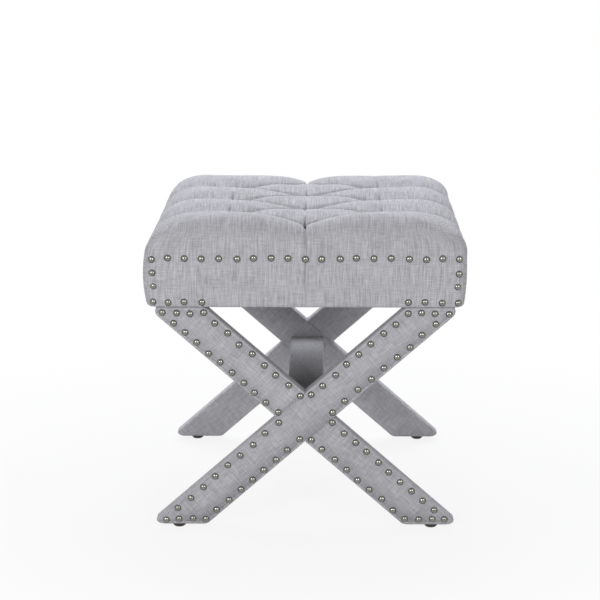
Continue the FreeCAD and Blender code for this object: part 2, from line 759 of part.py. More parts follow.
def bar(name, side, hand, width, thickness, depth):
    """A straight bar through the crossing, leaning to one hand, at a depth behind the seat's face."""
    half, end = f"{width} / 2", f"{BAR_LENGTH} / 2"
    body = padded(name, "XZ_Plane", [
        (f"-{end}", f"-{half}"), (end, f"-{half}"), (end, half), (f"-{end}", half)], thickness)
    body.Placement.Rotation = Rotation(Vector(0, 1, 0), 1)
    body.setExpression("Placement.Rotation.Angle", sized(f"{hand} * {LEAN}"))
    return place(body, "0", f"{side} * ({depth})", CROSSING)


def end_trim(name, inset):
    """The room that a frame's bars may fill: cut level at the seat and the floor, with rounded noses."""
    foot, top = f"(foot_span / 2 - {inset})", f"(top_span / 2 - {inset})"
    low, high = f"glide_height + {inset}", f"{UNDERSIDE} - {inset}"
    room = padded(name + "_blank", "XZ_Plane", [
        (f"-{foot}", low), (foot, low), (top, high), (f"-{top}", high)], f"2 * ({FRAME_Y} + {SLEEVE_DEPTH})")
    floor = number(low)
    return rounded(name, room, f"nose_radius - {inset}", lambda edge: (
        all(abs(vertex.Z - floor) < 0.01 for vertex in edge.Vertexes)
        and abs(edge.Vertexes[0].X - edge.Vertexes[1].X) < 0.01))


wood_trim = end_trim("wood_trim", "sleeve_thickness")
sleeve_trim = end_trim("sleeve_trim", "0")
stretcher_blank = box("stretcher_blank", ("-stretcher_width / 2", "stretcher_width / 2"),
                      (f"-{FRAME_INNER}", FRAME_INNER),
                      (f"{CROSSING} - stretcher_thickness / 2", f"{CROSSING} + stretcher_thickness / 2"))
stretcher_rail = cut("stretcher_rail", stretcher_blank, stretcher_dowels, stretcher_screws)


def sleeve(name, side, hand):
    """The outside of a covered bar, its long edges rounded, cut off at the ends."""
    solid = bar(name + "_bar", side, hand, SLEEVE_WIDTH, SLEEVE_DEPTH, FRAME_Y)
    doc.recompute()
    length = number(BAR_LENGTH)
    soft = rounded(name + "_soft", solid, "sleeve_edge", lambda edge: abs(edge.Length - length) < 0.01)
    return boolean("Part::Common", name, soft, sleeve_trim)


def x_frame(side, nail_holes):
    """One X frame: its two lapped bars and the three pieces of its cover."""
    end = "front" if side == FRONT else "rear"
    long_hand, cross_hand = side, -side
    bars = {}
    for kind, hand in (("long", long_hand), ("cross", cross_hand)):
        whole = bar(f"{end}_{kind}_bar", side, hand, "bar_width", "bar_thickness", FRAME_Y)
        bars[kind] = boolean("Part::Common", f"{end}_{kind}_wood", whole, wood_trim)
    lap_width = "(bar_width + joint_clearance)"
    inner_lap = bar(f"{end}_inner_lap", side, cross_hand, lap_width, "bar_thickness / 2",
                    f"{FRAME_Y} - bar_thickness / 4")
    outer_lap = bar(f"{end}_outer_lap", side, long_hand, lap_width, "bar_thickness / 2",
                    f"{FRAME_Y} + bar_thickness / 4")
    fixings = (nail_holes, glide_nails, leg_dowels, bracket_screws, stretcher_screws, stretcher_dowels)
    lapped = {"long": cut(f"{end}_long_lapped", bars["long"], inner_lap),
              "cross": cut(f"{end}_cross_lapped", bars["cross"], outer_lap)}
    rails = [cut(f"{end}_{kind}_rail", lapped[kind], *fixings) for kind in ("long", "cross")]

    core = boolean("Part::Fuse", f"{end}_core", bars["long"], bars["cross"])
    through = (nail_holes, glide_nails, leg_dowels, bracket_screws)
    long_sleeve = sleeve(f"{end}_long_sleeve", side, long_hand)
    long_hollow = cut(f"{end}_long_hollow", long_sleeve, core)
    long_window = cut(f"{end}_long_window", long_hollow, stretcher_blank)
    covers = [cut(f"{end}_long_cover", long_window, *through)]
    cross_sleeve = sleeve(f"{end}_cross_sleeve", side, cross_hand)
    cross_hollow = cut(f"{end}_cross_hollow", cross_sleeve, core)
    arms = cut(f"{end}_arms", cross_hollow, long_sleeve)
    for level, low, high in (("upper", CROSSING, UNDERSIDE), ("lower", "glide_height", CROSSING)):
        half = box(f"{end}_{level}_half", ("-foot_span", "foot_span"), ("-seat_depth", "seat_depth"),
                   (low, high))
        arm = boolean("Part::Common", f"{end}_{level}_arm", arms, half)
        covers.append(cut(f"{end}_{level}_arm_cover", arm, *through))
    return rails + covers


front_frame = x_frame(FRONT, front_leg_holes)
rear_frame = x_frame(REAR, rear_leg_holes)

STRETCHER_HALF = "(stretcher_width / 2 + sleeve_thickness)"
STRETCHER_RISE = "(stretcher_thickness / 2 + sleeve_thickness)"
stretcher_outside = box("stretcher_outside", (f"-{STRETCHER_HALF}", STRETCHER_HALF),
                        (f"-{SLEEVE_INNER}", SLEEVE_INNER),
                        (f"{CROSSING} - {STRETCHER_RISE}", f"{CROSSING} + {STRETCHER_RISE}"))
stretcher_run = number(f"2 * {SLEEVE_INNER}")
stretcher_soft = rounded("stretcher_soft", stretcher_outside, "sleeve_edge",
                         lambda edge: abs(edge.Length - stretcher_run) < 0.01)
stretcher_cover = cut("stretcher_cover", stretcher_soft, stretcher_blank)

# Check every object, then write one file for each sub-part

doc.recompute()
for item in doc.Objects:
    if "Invalid" in item.State or "Error" in item.State:
        raise RuntimeError(f"{item.Label} failed: {item.State}")

sub_parts = front_frame + rear_frame + [
    front_leg_nails, rear_leg_nails, stretcher_rail, stretcher_cover, stretcher_dowels, stretcher_screws,
    seat_front_rail, seat_rear_rail, seat_left_rail, seat_right_rail, rail_dowels, corner_blocks,
    corner_block_screws, front_leg_slat, rear_leg_slat, slat_screws, seat_deck, deck_screws, seat_foam,
    seat_cover, tuft_twines, tuft_toggles, dust_cover, dust_cover_staples, front_seat_nails,
    rear_seat_nails, leg_dowels, leg_brackets, bracket_screws, bracket_bolts, threaded_inserts,
    glide_pads, glide_nails,
]
os.makedirs("parts", exist_ok=True)
for item in sub_parts:
    if item.Shape.isNull() or not item.Shape.isValid():
        raise RuntimeError(f"{item.Label} has no valid shape")
    print(item.Label, len(item.Shape.Solids), round(item.Shape.Volume))
for item in sub_parts:
    item.Shape.exportStep(f"parts/{item.Label}.step")
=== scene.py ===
# %% [markdown]
# # A tufted ottoman on two crossed frames
# The construction is already done: every rail, dowel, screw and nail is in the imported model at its
# real place. This lesson adds what the eye meets, which is cloth, padding, nail heads, a floor,
# soft light and a camera. All sizes are in metres, and +Z is up.

# %% Load the construction
import math

import bmesh
import bpy
import numpy as np
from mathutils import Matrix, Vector, geometry, noise


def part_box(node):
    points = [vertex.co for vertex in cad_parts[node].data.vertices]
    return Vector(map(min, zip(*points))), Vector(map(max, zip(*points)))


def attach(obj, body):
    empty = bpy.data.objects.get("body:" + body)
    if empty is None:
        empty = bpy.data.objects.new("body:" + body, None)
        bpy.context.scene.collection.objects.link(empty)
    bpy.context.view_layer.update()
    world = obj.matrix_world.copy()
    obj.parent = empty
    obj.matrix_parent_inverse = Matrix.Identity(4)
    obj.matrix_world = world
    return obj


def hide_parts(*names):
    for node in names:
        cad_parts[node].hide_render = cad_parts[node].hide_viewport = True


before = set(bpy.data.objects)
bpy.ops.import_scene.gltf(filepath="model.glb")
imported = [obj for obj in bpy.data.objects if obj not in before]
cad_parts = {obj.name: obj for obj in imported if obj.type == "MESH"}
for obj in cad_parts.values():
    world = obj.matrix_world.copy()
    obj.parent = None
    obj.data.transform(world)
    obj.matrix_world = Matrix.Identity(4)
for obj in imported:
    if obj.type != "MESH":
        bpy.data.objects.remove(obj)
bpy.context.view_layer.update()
scene = bpy.context.scene

# %% [markdown]
# ## The camera
# A product photograph is usually taken from well back with a long lens, so that upright edges stay
# upright. The eye height, the distance and the lens were found by fitting the corners of the seat
# and the feet to the picture. A long lens is only a narrow angle of view: the focal length in
# pixels, divided by the picture's width and multiplied by the sensor's, gives the lens.

# %% Place the camera
PICTURE_WIDTH = 600
FOCAL_PIXELS = 1967.7
SENSOR = 36.0
EYE = (0.0233, -3.1935, 1.0570)
LOOK_DOWN, LOOK_LEFT = 13.136, 0.608

camera_data = bpy.data.cameras.new("camera")
camera_data.sensor_width = SENSOR
camera_data.lens = SENSOR * FOCAL_PIXELS / PICTURE_WIDTH
camera = bpy.data.objects.new("camera", camera_data)
camera.location = EYE
camera.rotation_euler = (math.radians(90 - LOOK_DOWN), 0, math.radians(LOOK_LEFT))
scene.collection.objects.link(camera)
scene.camera = camera
print("lens:", round(camera_data.lens, 1), "mm")

# %% [markdown]
# ## Node sums in plain Python
# A material is a graph of nodes, and a graph of twenty Math nodes is hard to read. So a socket is
# wrapped in a small class whose operators add the Math nodes: `1 - mask` makes one Subtract node.
# Every other node comes from one method, which sets the node's options first and its sockets after.
# The same operators and the same method serve the shaders and the Geometry Nodes.


# %% A socket with operators
class Value:
    """A node's output that can be added, multiplied and so on, each operator making a Math node."""

    def __init__(self, tree, socket):
        self.tree = tree
        self.socket = socket

    def output(self, key):
        """Another output of the same node."""
        return Value(self.tree, self.socket.node.outputs[key])

    def math(self, operation, *terms):
        node = self.tree.nodes.new("ShaderNodeMath")
        node.operation = operation
        for slot, term in zip(node.inputs, terms):
            plug(self.tree, slot, term)
        return Value(self.tree, node.outputs[0])

    def __add__(self, other):
        return self.math("ADD", self, other)

    def __radd__(self, other):
        return self.math("ADD", other, self)

    def __sub__(self, other):
        return self.math("SUBTRACT", self, other)

    def __rsub__(self, other):
        return self.math("SUBTRACT", other, self)

    def __mul__(self, other):
        return self.math("MULTIPLY", self, other)

    def __rmul__(self, other):
        return self.math("MULTIPLY", other, self)

    def sine(self):
        return self.math("SINE", self)

    def cosine(self):
        return self.math("COSINE", self)

    def most(self, other):
        return self.math("MAXIMUM", self, other)


def plug(tree, slot, term):
    """Links a socket to a value, or sets it to a plain number, colour or vector."""
    if isinstance(term, Value):
        tree.links.new(term.socket, slot)
    else:
        slot.default_value = term


# %% A graph of nodes, and the graph of a finish
class Graph:
    """A node tree that is built up node by node."""

    def __init__(self, tree):
        self.tree = tree
        tree.nodes.clear()

    def node(self, kind, settings=None, sockets=None, output=0):
        """A new node: its settings first, then its sockets by name or number; gives one output."""
        node = self.tree.nodes.new(kind)
        for name, value in (settings or {}).items():
            setattr(node, name, value)
        for key, term in (sockets or {}).items():
            plug(self.tree, node.inputs[key], term)
        return Value(self.tree, node.outputs[output]) if node.outputs else None


class Finish(Graph):
    """The graph of a material, or of the world."""

    def __init__(self, name, kind="materials"):
        self.block = getattr(bpy.data, kind).new(name)
        self.block.use_nodes = True
        super().__init__(self.block.node_tree)

    def object_place(self, scale=(1, 1, 1)):
        """Object coordinates, stretched or squeezed along each axis."""
        place = self.node("ShaderNodeTexCoord", output="Object")
        return self.node("ShaderNodeMapping", None, {"Vector": place, "Scale": scale})

    def noise(self, place, scale, detail=3.0, roughness=0.55):
        return self.node("ShaderNodeTexNoise", None, {
            "Vector": place, "Scale": scale, "Detail": detail, "Roughness": roughness})

    def blend(self, share, first, second):
        """A colour between two, by a share from 0 to 1."""
        sockets = {0: share, 6: (*first, 1), 7: (*second, 1)}
        return self.node("ShaderNodeMix", {"data_type": "RGBA"}, sockets, output=2)

    def spread(self, value, low, high):
        """Stretches the range from low to high to 0..1 and cuts off the rest."""
        return self.node("ShaderNodeMapRange", {"clamp": True}, {0: value, 1: low, 2: high})

    def bump(self, height, strength, distance):
        return self.node("ShaderNodeBump", None, {
            "Strength": strength, "Distance": distance, "Height": height})

    def background_rays(self):
        """1 for rays that come from the camera or by way of metal or glass, and 0 for all others."""
        rays = self.node("ShaderNodeLightPath")
        mirrored = rays.output("Is Glossy Ray").most(rays.output("Is Transmission Ray"))
        return rays.output("Is Camera Ray").most(mirrored)

    def surface(self, sockets):
        """Ends the graph in a Principled shader and gives the material."""
        shader = self.node("ShaderNodeBsdfPrincipled", None, sockets)
        self.node("ShaderNodeOutputMaterial", None, {"Surface": shader})
        return self.block


# %% [markdown]
# ## The linen-look cloth
# The cover is a pale grey cloth woven from uneven yarns. Close by, the eye sees a plain weave, and
# from a step away it sees slubs: short streaks, lighter or darker, that run along both yarn
# directions. Streaks are noise that is squeezed across the yarn and stretched along it, so the cloth
# needs coordinates that follow the yarn. Each piece therefore carries a UV map named cloth, laid out
# in metres along its own grain, and the pattern turns with the piece. On the seat the upright yarns
# show most, and on the bars and the stretcher those that run along the board.

# %% Mix the cloth
YARN = 0.0011
DARK_YARN, PALE_YARN = (0.300, 0.295, 0.322), (0.640, 0.634, 0.660)
YARN_TONES = (0.42, 0.645)
SLUB_TONES = (0.60, 0.74)
PATCH_SHARE, SLUB_SHARE, THREAD_SHARE = 0.08, 0.05, 0.14


def linen(name, upright_share, level_share):
    """Woven cloth, with the shares that the streaks of the upright and the level yarns have in it."""
    finish = Finish(name)
    cloth = finish.node("ShaderNodeUVMap", {"uv_map": "cloth"})

    def streaks(per_metre_u, per_metre_v):
        scale = (per_metre_u, per_metre_v, 1)
        place = finish.node("ShaderNodeMapping", None, {"Vector": cloth, "Scale": scale})
        return finish.noise(place, 1.0, 2.0, 0.6)

    upright = streaks(560, 24) * 0.6 + streaks(900, 70) * 0.4
    level = streaks(40, 600) * 0.5 + streaks(70, 900) * 0.5
    slubs = finish.spread(streaks(520, 11), *SLUB_TONES)
    patches = finish.noise(cloth, 18.0, 2.0)
    yarns = upright * upright_share + level * level_share + patches * PATCH_SHARE + slubs * SLUB_SHARE
    tone = finish.spread(yarns, *YARN_TONES)
    apart = finish.node("ShaderNodeSeparateXYZ", None, {"Vector": cloth})
    turn = 2 * math.pi / YARN
    weave = (apart * turn).sine() * (apart.output("Y") * turn).sine()
    thread = finish.spread(weave * 0.5 + 0.5, 0.0, 1.0)
    shade = tone * (1 - THREAD_SHARE) + thread * THREAD_SHARE
    return finish.surface({
        "Base Color": finish.blend(shade, DARK_YARN, PALE_YARN),
        "Roughness": 0.98 - tone * 0.12,
        "Sheen Weight": 0.12,
        "Sheen Roughness": 0.5,
        "Specular IOR Level": 0.2,
        "Normal": finish.bump(tone * 0.6 + thread * 0.4, 0.35, 0.0006),
    })


LINEN = linen("linen", 0.58, 0.36)
BAR_LINEN = linen("bar_linen", 0.42, 0.52)
print("cloth:", LINEN.name, BAR_LINEN.name, len(LINEN.node_tree.nodes), "nodes each")

# %% [markdown]
# ## Making a piece
# Every new piece is one object at the origin, with its place in its mesh. It rides on the only body,
# takes the finish that it is given, and may stand for nodes of the construction, which are
# then hidden. One helper keeps these steps in one place.


# %% Helpers for pieces and meshes
def piece(name, mesh, material, nodes=()):
    made = bpy.data.objects.new(name, mesh)
    scene.collection.objects.link(made)
    mesh.materials.clear()
    mesh.materials.append(material)
    mesh.shade_smooth()
    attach(made, "root")
    if nodes:
        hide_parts(*nodes)
    print(name, len(mesh.vertices), "vertices", len(mesh.polygons), "faces")
    return made


def after_modifier(name, mesh, kind, prepare):
    """The mesh that a modifier makes of another, once it is prepared on a passing object."""
    body = bpy.data.objects.new(name, mesh)
    scene.collection.objects.link(body)
    prepare(body, body.modifiers.new(name, kind))
    graph = bpy.context.evaluated_depsgraph_get()
    made = bpy.data.meshes.new_from_object(body.evaluated_get(graph))
    bpy.data.objects.remove(body)
    return made


def vectors(items, name):
    """One vector of each item, such as a vertex's place or its normal, as the rows of an array."""
    flat = np.empty(len(items) * 3)
    items.foreach_get(name, flat)
    return flat.reshape(-1, 3)


def pressed_in(mesh, deep):
    """The points of a mesh, each moved inward along its normal."""
    return vectors(mesh.vertices, "co") - deep[:, None] * vectors(mesh.vertices, "normal")


def move_points(mesh, points):
    mesh.vertices.foreach_set("co", np.asarray(points, np.float32).ravel())
    mesh.update()


def lay_cloth(mesh, places):
    """Writes the cloth map: for each face, the places of its corners on the flat cloth."""
    layer = mesh.uv_layers.new(name="cloth")
    for polygon, corners in zip(mesh.polygons, places):
        for loop, place in zip(polygon.loop_indices, corners):
            layer.data[loop].uv = tuple(place)


# %% [markdown]
# ## The tufted seat: its grid
# The seat is foam under cloth, pulled down at ten tufts in a diamond pattern. It could be sculpted
# from a cube, but the pleats between the tufts must run straight, and a mesh creases cleanly only
# along its own edges. So the grid is laid out from the tufts: as many cells lie between two tuft
# columns as between two rows, and every diagonal pleat passes through grid corners. A few more
# lines beside each column of tufts make room for the short puckers there.

# %% Lay out the seat's grid
TUFT_COLUMN, TUFT_ROW = 0.121, 0.064
LATTICE_CELLS, SIDE_CELLS, END_CELLS, UNDER_CELLS = 20, 20, 12, 4
HEIGHT_CELLS = (3, 15, 9)
FINE_STOPS = (0.0009, 0.0026)
HALF_X, HALF_Y = 0.248, 0.251
SHOULDER_START = 0.4395
RUN_X, RUN_Y, SHOULDER_RISE = 0.076, 0.048, 0.050
FOOT_ROLL = 0.006
ARC_STEPS = 400
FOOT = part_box("seat_cover")[0].z


def arc_lengths(run):
    """Lengths of the lower and the upper half of a shoulder, a quarter of an ellipse."""
    turns = np.linspace(0, math.pi / 2, ARC_STEPS + 1)
    steps = np.hypot(run * np.sin(turns), SHOULDER_RISE * np.cos(turns)) * (turns[1] - turns[0])
    return steps[:ARC_STEPS // 2].sum(), steps[ARC_STEPS // 2:].sum()


(SIDE_X, TOP_X), (SIDE_Y, TOP_Y) = arc_lengths(RUN_X), arc_lengths(RUN_Y)
ARC_SIDE = (SIDE_X + SIDE_Y) / 2
BOX_X, BOX_Y = HALF_X - RUN_X + TOP_X, HALF_Y - RUN_Y + TOP_Y
BOX_TOP = SHOULDER_START + ARC_SIDE


def grid_lines(stops, cells):
    """Grid lines through all the stops, with a number of even cells between each two."""
    runs = [np.linspace(a, b, n, endpoint=False) for a, b, n in zip(stops, stops[1:], cells)]
    return np.append(np.concatenate(runs), stops[-1])


x_lines = grid_lines((-BOX_X, -TUFT_COLUMN, TUFT_COLUMN, BOX_X),
                     (SIDE_CELLS, 2 * LATTICE_CELLS, SIDE_CELLS))
fine_lines = [column * TUFT_COLUMN + side * stop
              for column in (-1, 0, 1) for side in (-1, 1) for stop in FINE_STOPS]
x_lines = np.sort(np.append(x_lines, fine_lines))
y_lines = grid_lines((-BOX_Y, -3 * TUFT_ROW, 3 * TUFT_ROW, BOX_Y),
                     (END_CELLS, 6 * LATTICE_CELLS, END_CELLS))
z_lines = grid_lines((FOOT, FOOT + FOOT_ROLL, SHOULDER_START, BOX_TOP), HEIGHT_CELLS)
LAST_X, LAST_Y, LAST_Z = len(x_lines) - 1, len(y_lines) - 1, len(z_lines) - 1
print("cells:", LAST_X, "x", LAST_Y, "x", LAST_Z)

# %% [markdown]
# ## From a box to an upholstered form
# The grid is first the skin of a plain box without most of its bottom. Each point is then moved: the
# upper edges roll over a shoulder, the upright corners are rounded, and the foot draws in where the
# cloth is pulled under. The box coordinates stay with each point as its place on the flat cloth.
# Padding is put in by hand, so a second step makes the form uneven: the sides are full, both
# shoulders lean a little to the right, the front stands higher and the rear is pressed flatter.

# %% Roll the edges of the box
SQUARE_X, SQUARE_Y = 1.0, 1.6
CORNER, CORNER_GROWTH, CORNER_FADE = 0.016, 0.08, 0.09
FOOT_DRAW, FOOT_TUCK = 0.003, 0.4 * FOOT_ROLL
EDGE_PULL = 4
TINY, LEAST_NEST = 1e-9, 1e-6


def smooth_step(share):
    share = np.clip(share, 0, 1)
    return share * share * (3 - 2 * share)


def ramp(where, start, run):
    """0 up to the start, 1 from the end of the run on, and eased in between."""
    return smooth_step((where - start) / run)


def rolled(box):
    """Box points moved onto the seat's form, before tufting."""
    x, y, z = box.T
    top, bottom = z >= BOX_TOP - TINY, z <= FOOT + TINY
    edge = np.minimum(BOX_X - abs(x), BOX_Y - abs(y))
    share = np.minimum((BOX_X - abs(x)) / TOP_X, (BOX_Y - abs(y)) / TOP_Y)
    turned = np.where(top, 1 + np.clip(share, 0, 1), np.clip((z - SHOULDER_START) / ARC_SIDE, 0, 1))
    angle = turned * math.pi / 4
    height = np.where(z < SHOULDER_START, z, SHOULDER_START + SHOULDER_RISE * np.sin(angle))
    below = np.clip((SHOULDER_START - z) / (SHOULDER_START - FOOT), 0, 1)
    roll = np.clip((FOOT + FOOT_ROLL - z) / FOOT_ROLL, 0, 1)
    drawn = FOOT_DRAW * below ** 2 + FOOT_TUCK * roll ** 2

    def placed(where, box_half, half, run, arc, square):
        """The room from the middle to the skin, and how far along it the point lies."""
        inside = np.where(top, share * arc, np.where(bottom, edge, 0))
        past_arc = np.where(top, np.maximum(share - 1, 0) * arc, np.where(bottom, edge, 0))
        room = half - run * (1 - np.cos(angle)) ** square - drawn - past_arc
        nest = np.maximum(box_half - inside, LEAST_NEST)
        return room, abs(where) + (room - nest) * (abs(where) / nest) ** EDGE_PULL

    room_x, along_x = placed(x, BOX_X, HALF_X, RUN_X, TOP_X, SQUARE_X)
    room_y, along_y = placed(y, BOX_Y, HALF_Y, RUN_Y, TOP_Y, SQUARE_Y)
    radius = CORNER + np.where(top, np.minimum(HALF_X - room_x, CORNER_GROWTH), 0) / 2
    past_x = np.maximum(along_x - (room_x - radius), 0)
    past_y = np.maximum(along_y - (room_y - radius), 0)
    past = np.maximum(np.hypot(past_x, past_y), TINY)
    corner = (past_x > 0) & (past_y > 0)
    plain = np.where(top, smooth_step(edge / CORNER_FADE), 0)

    def rounded(where, along, room, past_axis):
        turned_in = np.where(corner, room - radius + radius * past_axis / past, along)
        return np.sign(where) * (turned_in * (1 - plain) + along * plain)

    level = rounded(x, along_x, room_x, past_x), rounded(y, along_y, room_y, past_y)
    return np.stack([*level, height], axis=1)


# %% Stuff it unevenly
FULL_LEFT, FULL_RIGHT, FULL_SIDE = 0.0030, 0.0015, (0.15, 0.09)
LEAN_LEFT, LEAN_RIGHT, LEAN_GROWTH = 0.0042, 0.0030, 0.7
LEAN_SIDE, LEAN_HEIGHT = (0.12, 0.12), (0.425, 0.045)
FRONT_RISE, RISE_DEPTH, RISE_SIDE = 0.0058, (-0.235, 0.105), (0.15, 0.08)
RISE_MIDDLE, RISE_NOTCH = 0.2, (0.015, 0.085)
REAR_DROP, DROP_START, DROP_RUN = 0.0062, -0.13, 0.36
DROP_RELIEF, DROP_SIDE = 0.7, (0.145, 0.07)


def stuffed(points):
    """The form with its padding: full sides, leaning shoulders, a high front and a low rear."""
    x, y, z = points.T
    out = abs(x)
    height = np.clip((z - FOOT) / (SHOULDER_START - FOOT), 0, 1)
    full = np.sin(math.pi * height) * np.where(x < 0, FULL_LEFT, FULL_RIGHT) * ramp(out, *FULL_SIDE)
    lean = np.where(x < 0, LEAN_LEFT * (1 + LEAN_GROWTH * y / HALF_Y), LEAN_RIGHT)
    lean = lean * ramp(z, *LEAN_HEIGHT) * ramp(out, *LEAN_SIDE)
    drop = REAR_DROP * np.clip((y - DROP_START) / DROP_RUN, 0, 1)
    drop = drop * (1 - DROP_RELIEF * ramp(out, *DROP_SIDE))
    rise = FRONT_RISE * (1 - ramp(y, *RISE_DEPTH)) * (1 - ramp(out, *RISE_SIDE))
    rise = rise * (RISE_MIDDLE + (1 - RISE_MIDDLE) * ramp(out, *RISE_NOTCH))
    lift = (rise - drop) * ramp(z, SHOULDER_START, SHOULDER_RISE)
    return np.stack([x + np.sign(x) * full + lean, y, z + lift], axis=1)


# %% [markdown]
# ## Tufts and pleats
# Between two neighbouring tufts the spare cloth is folded into a pleat. Each pleat is a line on the
# flat cloth with two lists of depths along it. The first says how deep the padding lies there: deep at
# a tuft, half as deep half way. From the line the padding rises on both sides like a parabola. The
# second is the fold itself, a narrow crease that is pressed in later, on the finer mesh. Where pleats
# meet, a point takes a mean of their depths, and a near pleat counts for most, so that no ridge shows
# between them. The middle pleats run on over the front and rear edges and go down the faces as a seam.
# At each tuft the cloth is pinched, and a short pucker runs from it to the front and to the rear.

# %% Draw the pleats on the flat cloth
OUTER, INNER = 0.0110, 0.0090
BETWEEN = (OUTER, 0.0088, 0.0055, 0.0070, INNER)
SIDEWAYS = (OUTER, 0.0118, 0.0102, 0.0062, 0.0020)
FORWARD = (INNER, 0.0080, 0.0062, 0.0040, 0.0015)
BACKWARD = (INNER, 0.0105, 0.0080, 0.0035, 0.0008)
FLAT = (0.0, 0.0)
FOLD_BETWEEN = (0.0090, 0.0075, 0.0045, 0.0085, 0.0110)
FOLD_SIDEWAYS = (0.0090, 0.0060, 0.0045, 0.0028, 0.0008)
FOLD_BROW = (0.0060, 0.0034, 0.0028, 0.0026, 0.0026)
SEAM = (0.0026, 0.0022, 0.0018, 0.0006)
PILLOW_REACH, FOLD_REACH, BROW_REACH, SEAM_REACH = 0.058, 0.0120, 0.0040, 0.0022

tufts = [(0, k * TUFT_ROW) for k in (-3, -1, 1, 3)]
tufts += [(i * TUFT_COLUMN, k * TUFT_ROW) for i in (-1, 1) for k in (-2, 0, 2)]
pleats = []
for i in (-1, 1):
    for k in (-2, 0, 2):
        side = (i * TUFT_COLUMN, k * TUFT_ROW)
        for near in (k - 1, k + 1):
            pleats.append((side, (0, near * TUFT_ROW), BETWEEN, FOLD_BETWEEN, FOLD_REACH))
        pleats.append((side, (i * (BOX_X + ARC_SIDE), side[1]), SIDEWAYS, FOLD_SIDEWAYS, FOLD_REACH))
    brow = (0, i * (BOX_Y + ARC_SIDE))
    hem = (0, i * (BOX_Y + BOX_TOP - FOOT))
    pleats.append(((0, 3 * i * TUFT_ROW), brow, FORWARD if i < 0 else BACKWARD, FOLD_BROW, BROW_REACH))
    pleats.append((brow, hem, FLAT, SEAM, SEAM_REACH))
print("tufts:", len(tufts), "pleats:", len(pleats))


# %% How deep the cloth lies
NEARNESS, ON_LINE, LEAST_WEIGHT = 0.008, 2e-4, 1e-30
SINK, SINK_REACH, SINK_END, SINK_FADE = 0.0048, 0.090, 0.225, 0.05
DIMPLE_OUTER, DIMPLE_INNER, DIMPLE_FRONT, DIMPLE_REACH = 0.0065, 0.0015, 0.0065, 0.062
PINCH, PINCH_REACH = 0.009, 0.013
PUCKER_OUTER, PUCKER_INNER, PUCKER_LENGTH = 0.0090, 0.0110, 0.042
PUCKER_REACH, PUCKER_LIP = 0.0075, 0.0012

dimples = {tuft: DIMPLE_OUTER if tuft[0] else DIMPLE_INNER for tuft in tufts}
dimples[0, -3 * TUFT_ROW] = DIMPLE_FRONT


def line_distance(cloth, start, end):
    """Distance from a line, and the share of its length, for points on the flat cloth."""
    start, run = np.array(start), np.subtract(end, start)
    share = np.clip((cloth - start) @ run / (run @ run), 0, 1)
    return np.hypot(*(cloth - start - share[:, None] * run).T), share


def at_share(share, values):
    return np.interp(share, np.linspace(0, 1, len(values)), values)


def fall(distance, reach):
    """1 on a line, falling to 0 at its reach like a parabola."""
    return np.clip(1 - distance / reach, 0, 1) ** 2


def padding_depths(cloth):
    """How deep the padding lies at points of the flat cloth, and which of them are on a pleat."""
    total, weights = np.zeros(len(cloth)), np.zeros(len(cloth))
    creased = np.zeros(len(cloth), bool)
    for start, end, bottoms, _, _ in pleats:
        distance, share = line_distance(cloth, start, end)
        weight = np.exp(-distance / NEARNESS)
        total += weight * at_share(share, bottoms) * fall(distance, PILLOW_REACH)
        weights += weight
        creased |= distance < ON_LINE
    x, y = abs(cloth.T)
    sink = SINK * (1 - smooth_step(x / SINK_REACH)) * smooth_step((SINK_END - y) / SINK_FADE)
    deep = total / np.maximum(weights, LEAST_WEIGHT) + sink
    for tuft, dimple in dimples.items():
        deep += dimple * fall(np.hypot(*(cloth - tuft).T), DIMPLE_REACH)
    return deep, creased


def fold_depths(cloth):
    """How deep the narrow folds, the puckers and the pinched tufts lie."""
    deep = np.zeros(len(cloth))
    for start, end, _, folds, reach in pleats:
        distance, share = line_distance(cloth, start, end)
        deep = np.maximum(deep, at_share(share, folds) * fall(distance, reach))
    for x, y in tufts:
        pucker = PUCKER_OUTER if x else PUCKER_INNER
        reach = np.where(cloth[:, 0] < x, PUCKER_REACH, PUCKER_LIP)
        for way in (-1, 1):
            distance, share = line_distance(cloth, (x, y), (x, y + way * PUCKER_LENGTH))
            deep = np.maximum(deep, pucker * (1 - share) * fall(distance, reach))
        deep += PINCH * fall(np.hypot(*(cloth - (x, y)).T), PINCH_REACH)
    return deep


# %% [markdown]
# ## Building the seat's skin
# The faces are collected from the box: its whole top, four sides and a strip of the bottom that is
# turned under. A cell that a diagonal pleat crosses is split along the pleat. Each face also gets its
# place on the flat cloth, continuing over the edges, so that the weave runs from the top down the sides.

# %% Collect the skin
numbers = {}
box_points = []


def corner_number(i, j, k):
    if (i, j, k) not in numbers:
        numbers[i, j, k] = len(box_points)
        box_points.append((x_lines[i], y_lines[j], z_lines[k]))
    return numbers[i, j, k]


def flat_place(point, side):
    """The place of a box point on the flat cloth, as part of one side of the box."""
    x, y, z = point
    down = BOX_TOP - z
    if side[0]:
        return side[0] * (BOX_X + down), y
    if side[1]:
        return x, side[1] * (BOX_Y + down)
    return x, y


cells = []
for i in range(LAST_X):
    for j in range(LAST_Y):
        square = [(i, j), (i + 1, j), (i + 1, j + 1), (i, j + 1)]
        cells.append(([(*c, LAST_Z) for c in square], (0, 0)))
        if min(i, j, LAST_X - 1 - i, LAST_Y - 1 - j) < UNDER_CELLS:
            cells.append(([(*square[c], 0) for c in (0, 3, 2, 1)], (0, 0)))
for k in range(LAST_Z):
    for i in range(LAST_X):
        for a, b, j, way in ((i, i + 1, 0, -1), (i + 1, i, LAST_Y, 1)):
            cells.append(([(a, j, k), (b, j, k), (b, j, k + 1), (a, j, k + 1)], (0, way)))
    for j in range(LAST_Y):
        for a, b, i, way in ((j + 1, j, 0, -1), (j, j + 1, LAST_X, 1)):
            cells.append(([(i, a, k), (i, b, k), (i, b, k + 1), (i, a, k + 1)], (way, 0)))
faces = [[corner_number(*c) for c in cell] for cell, _ in cells]
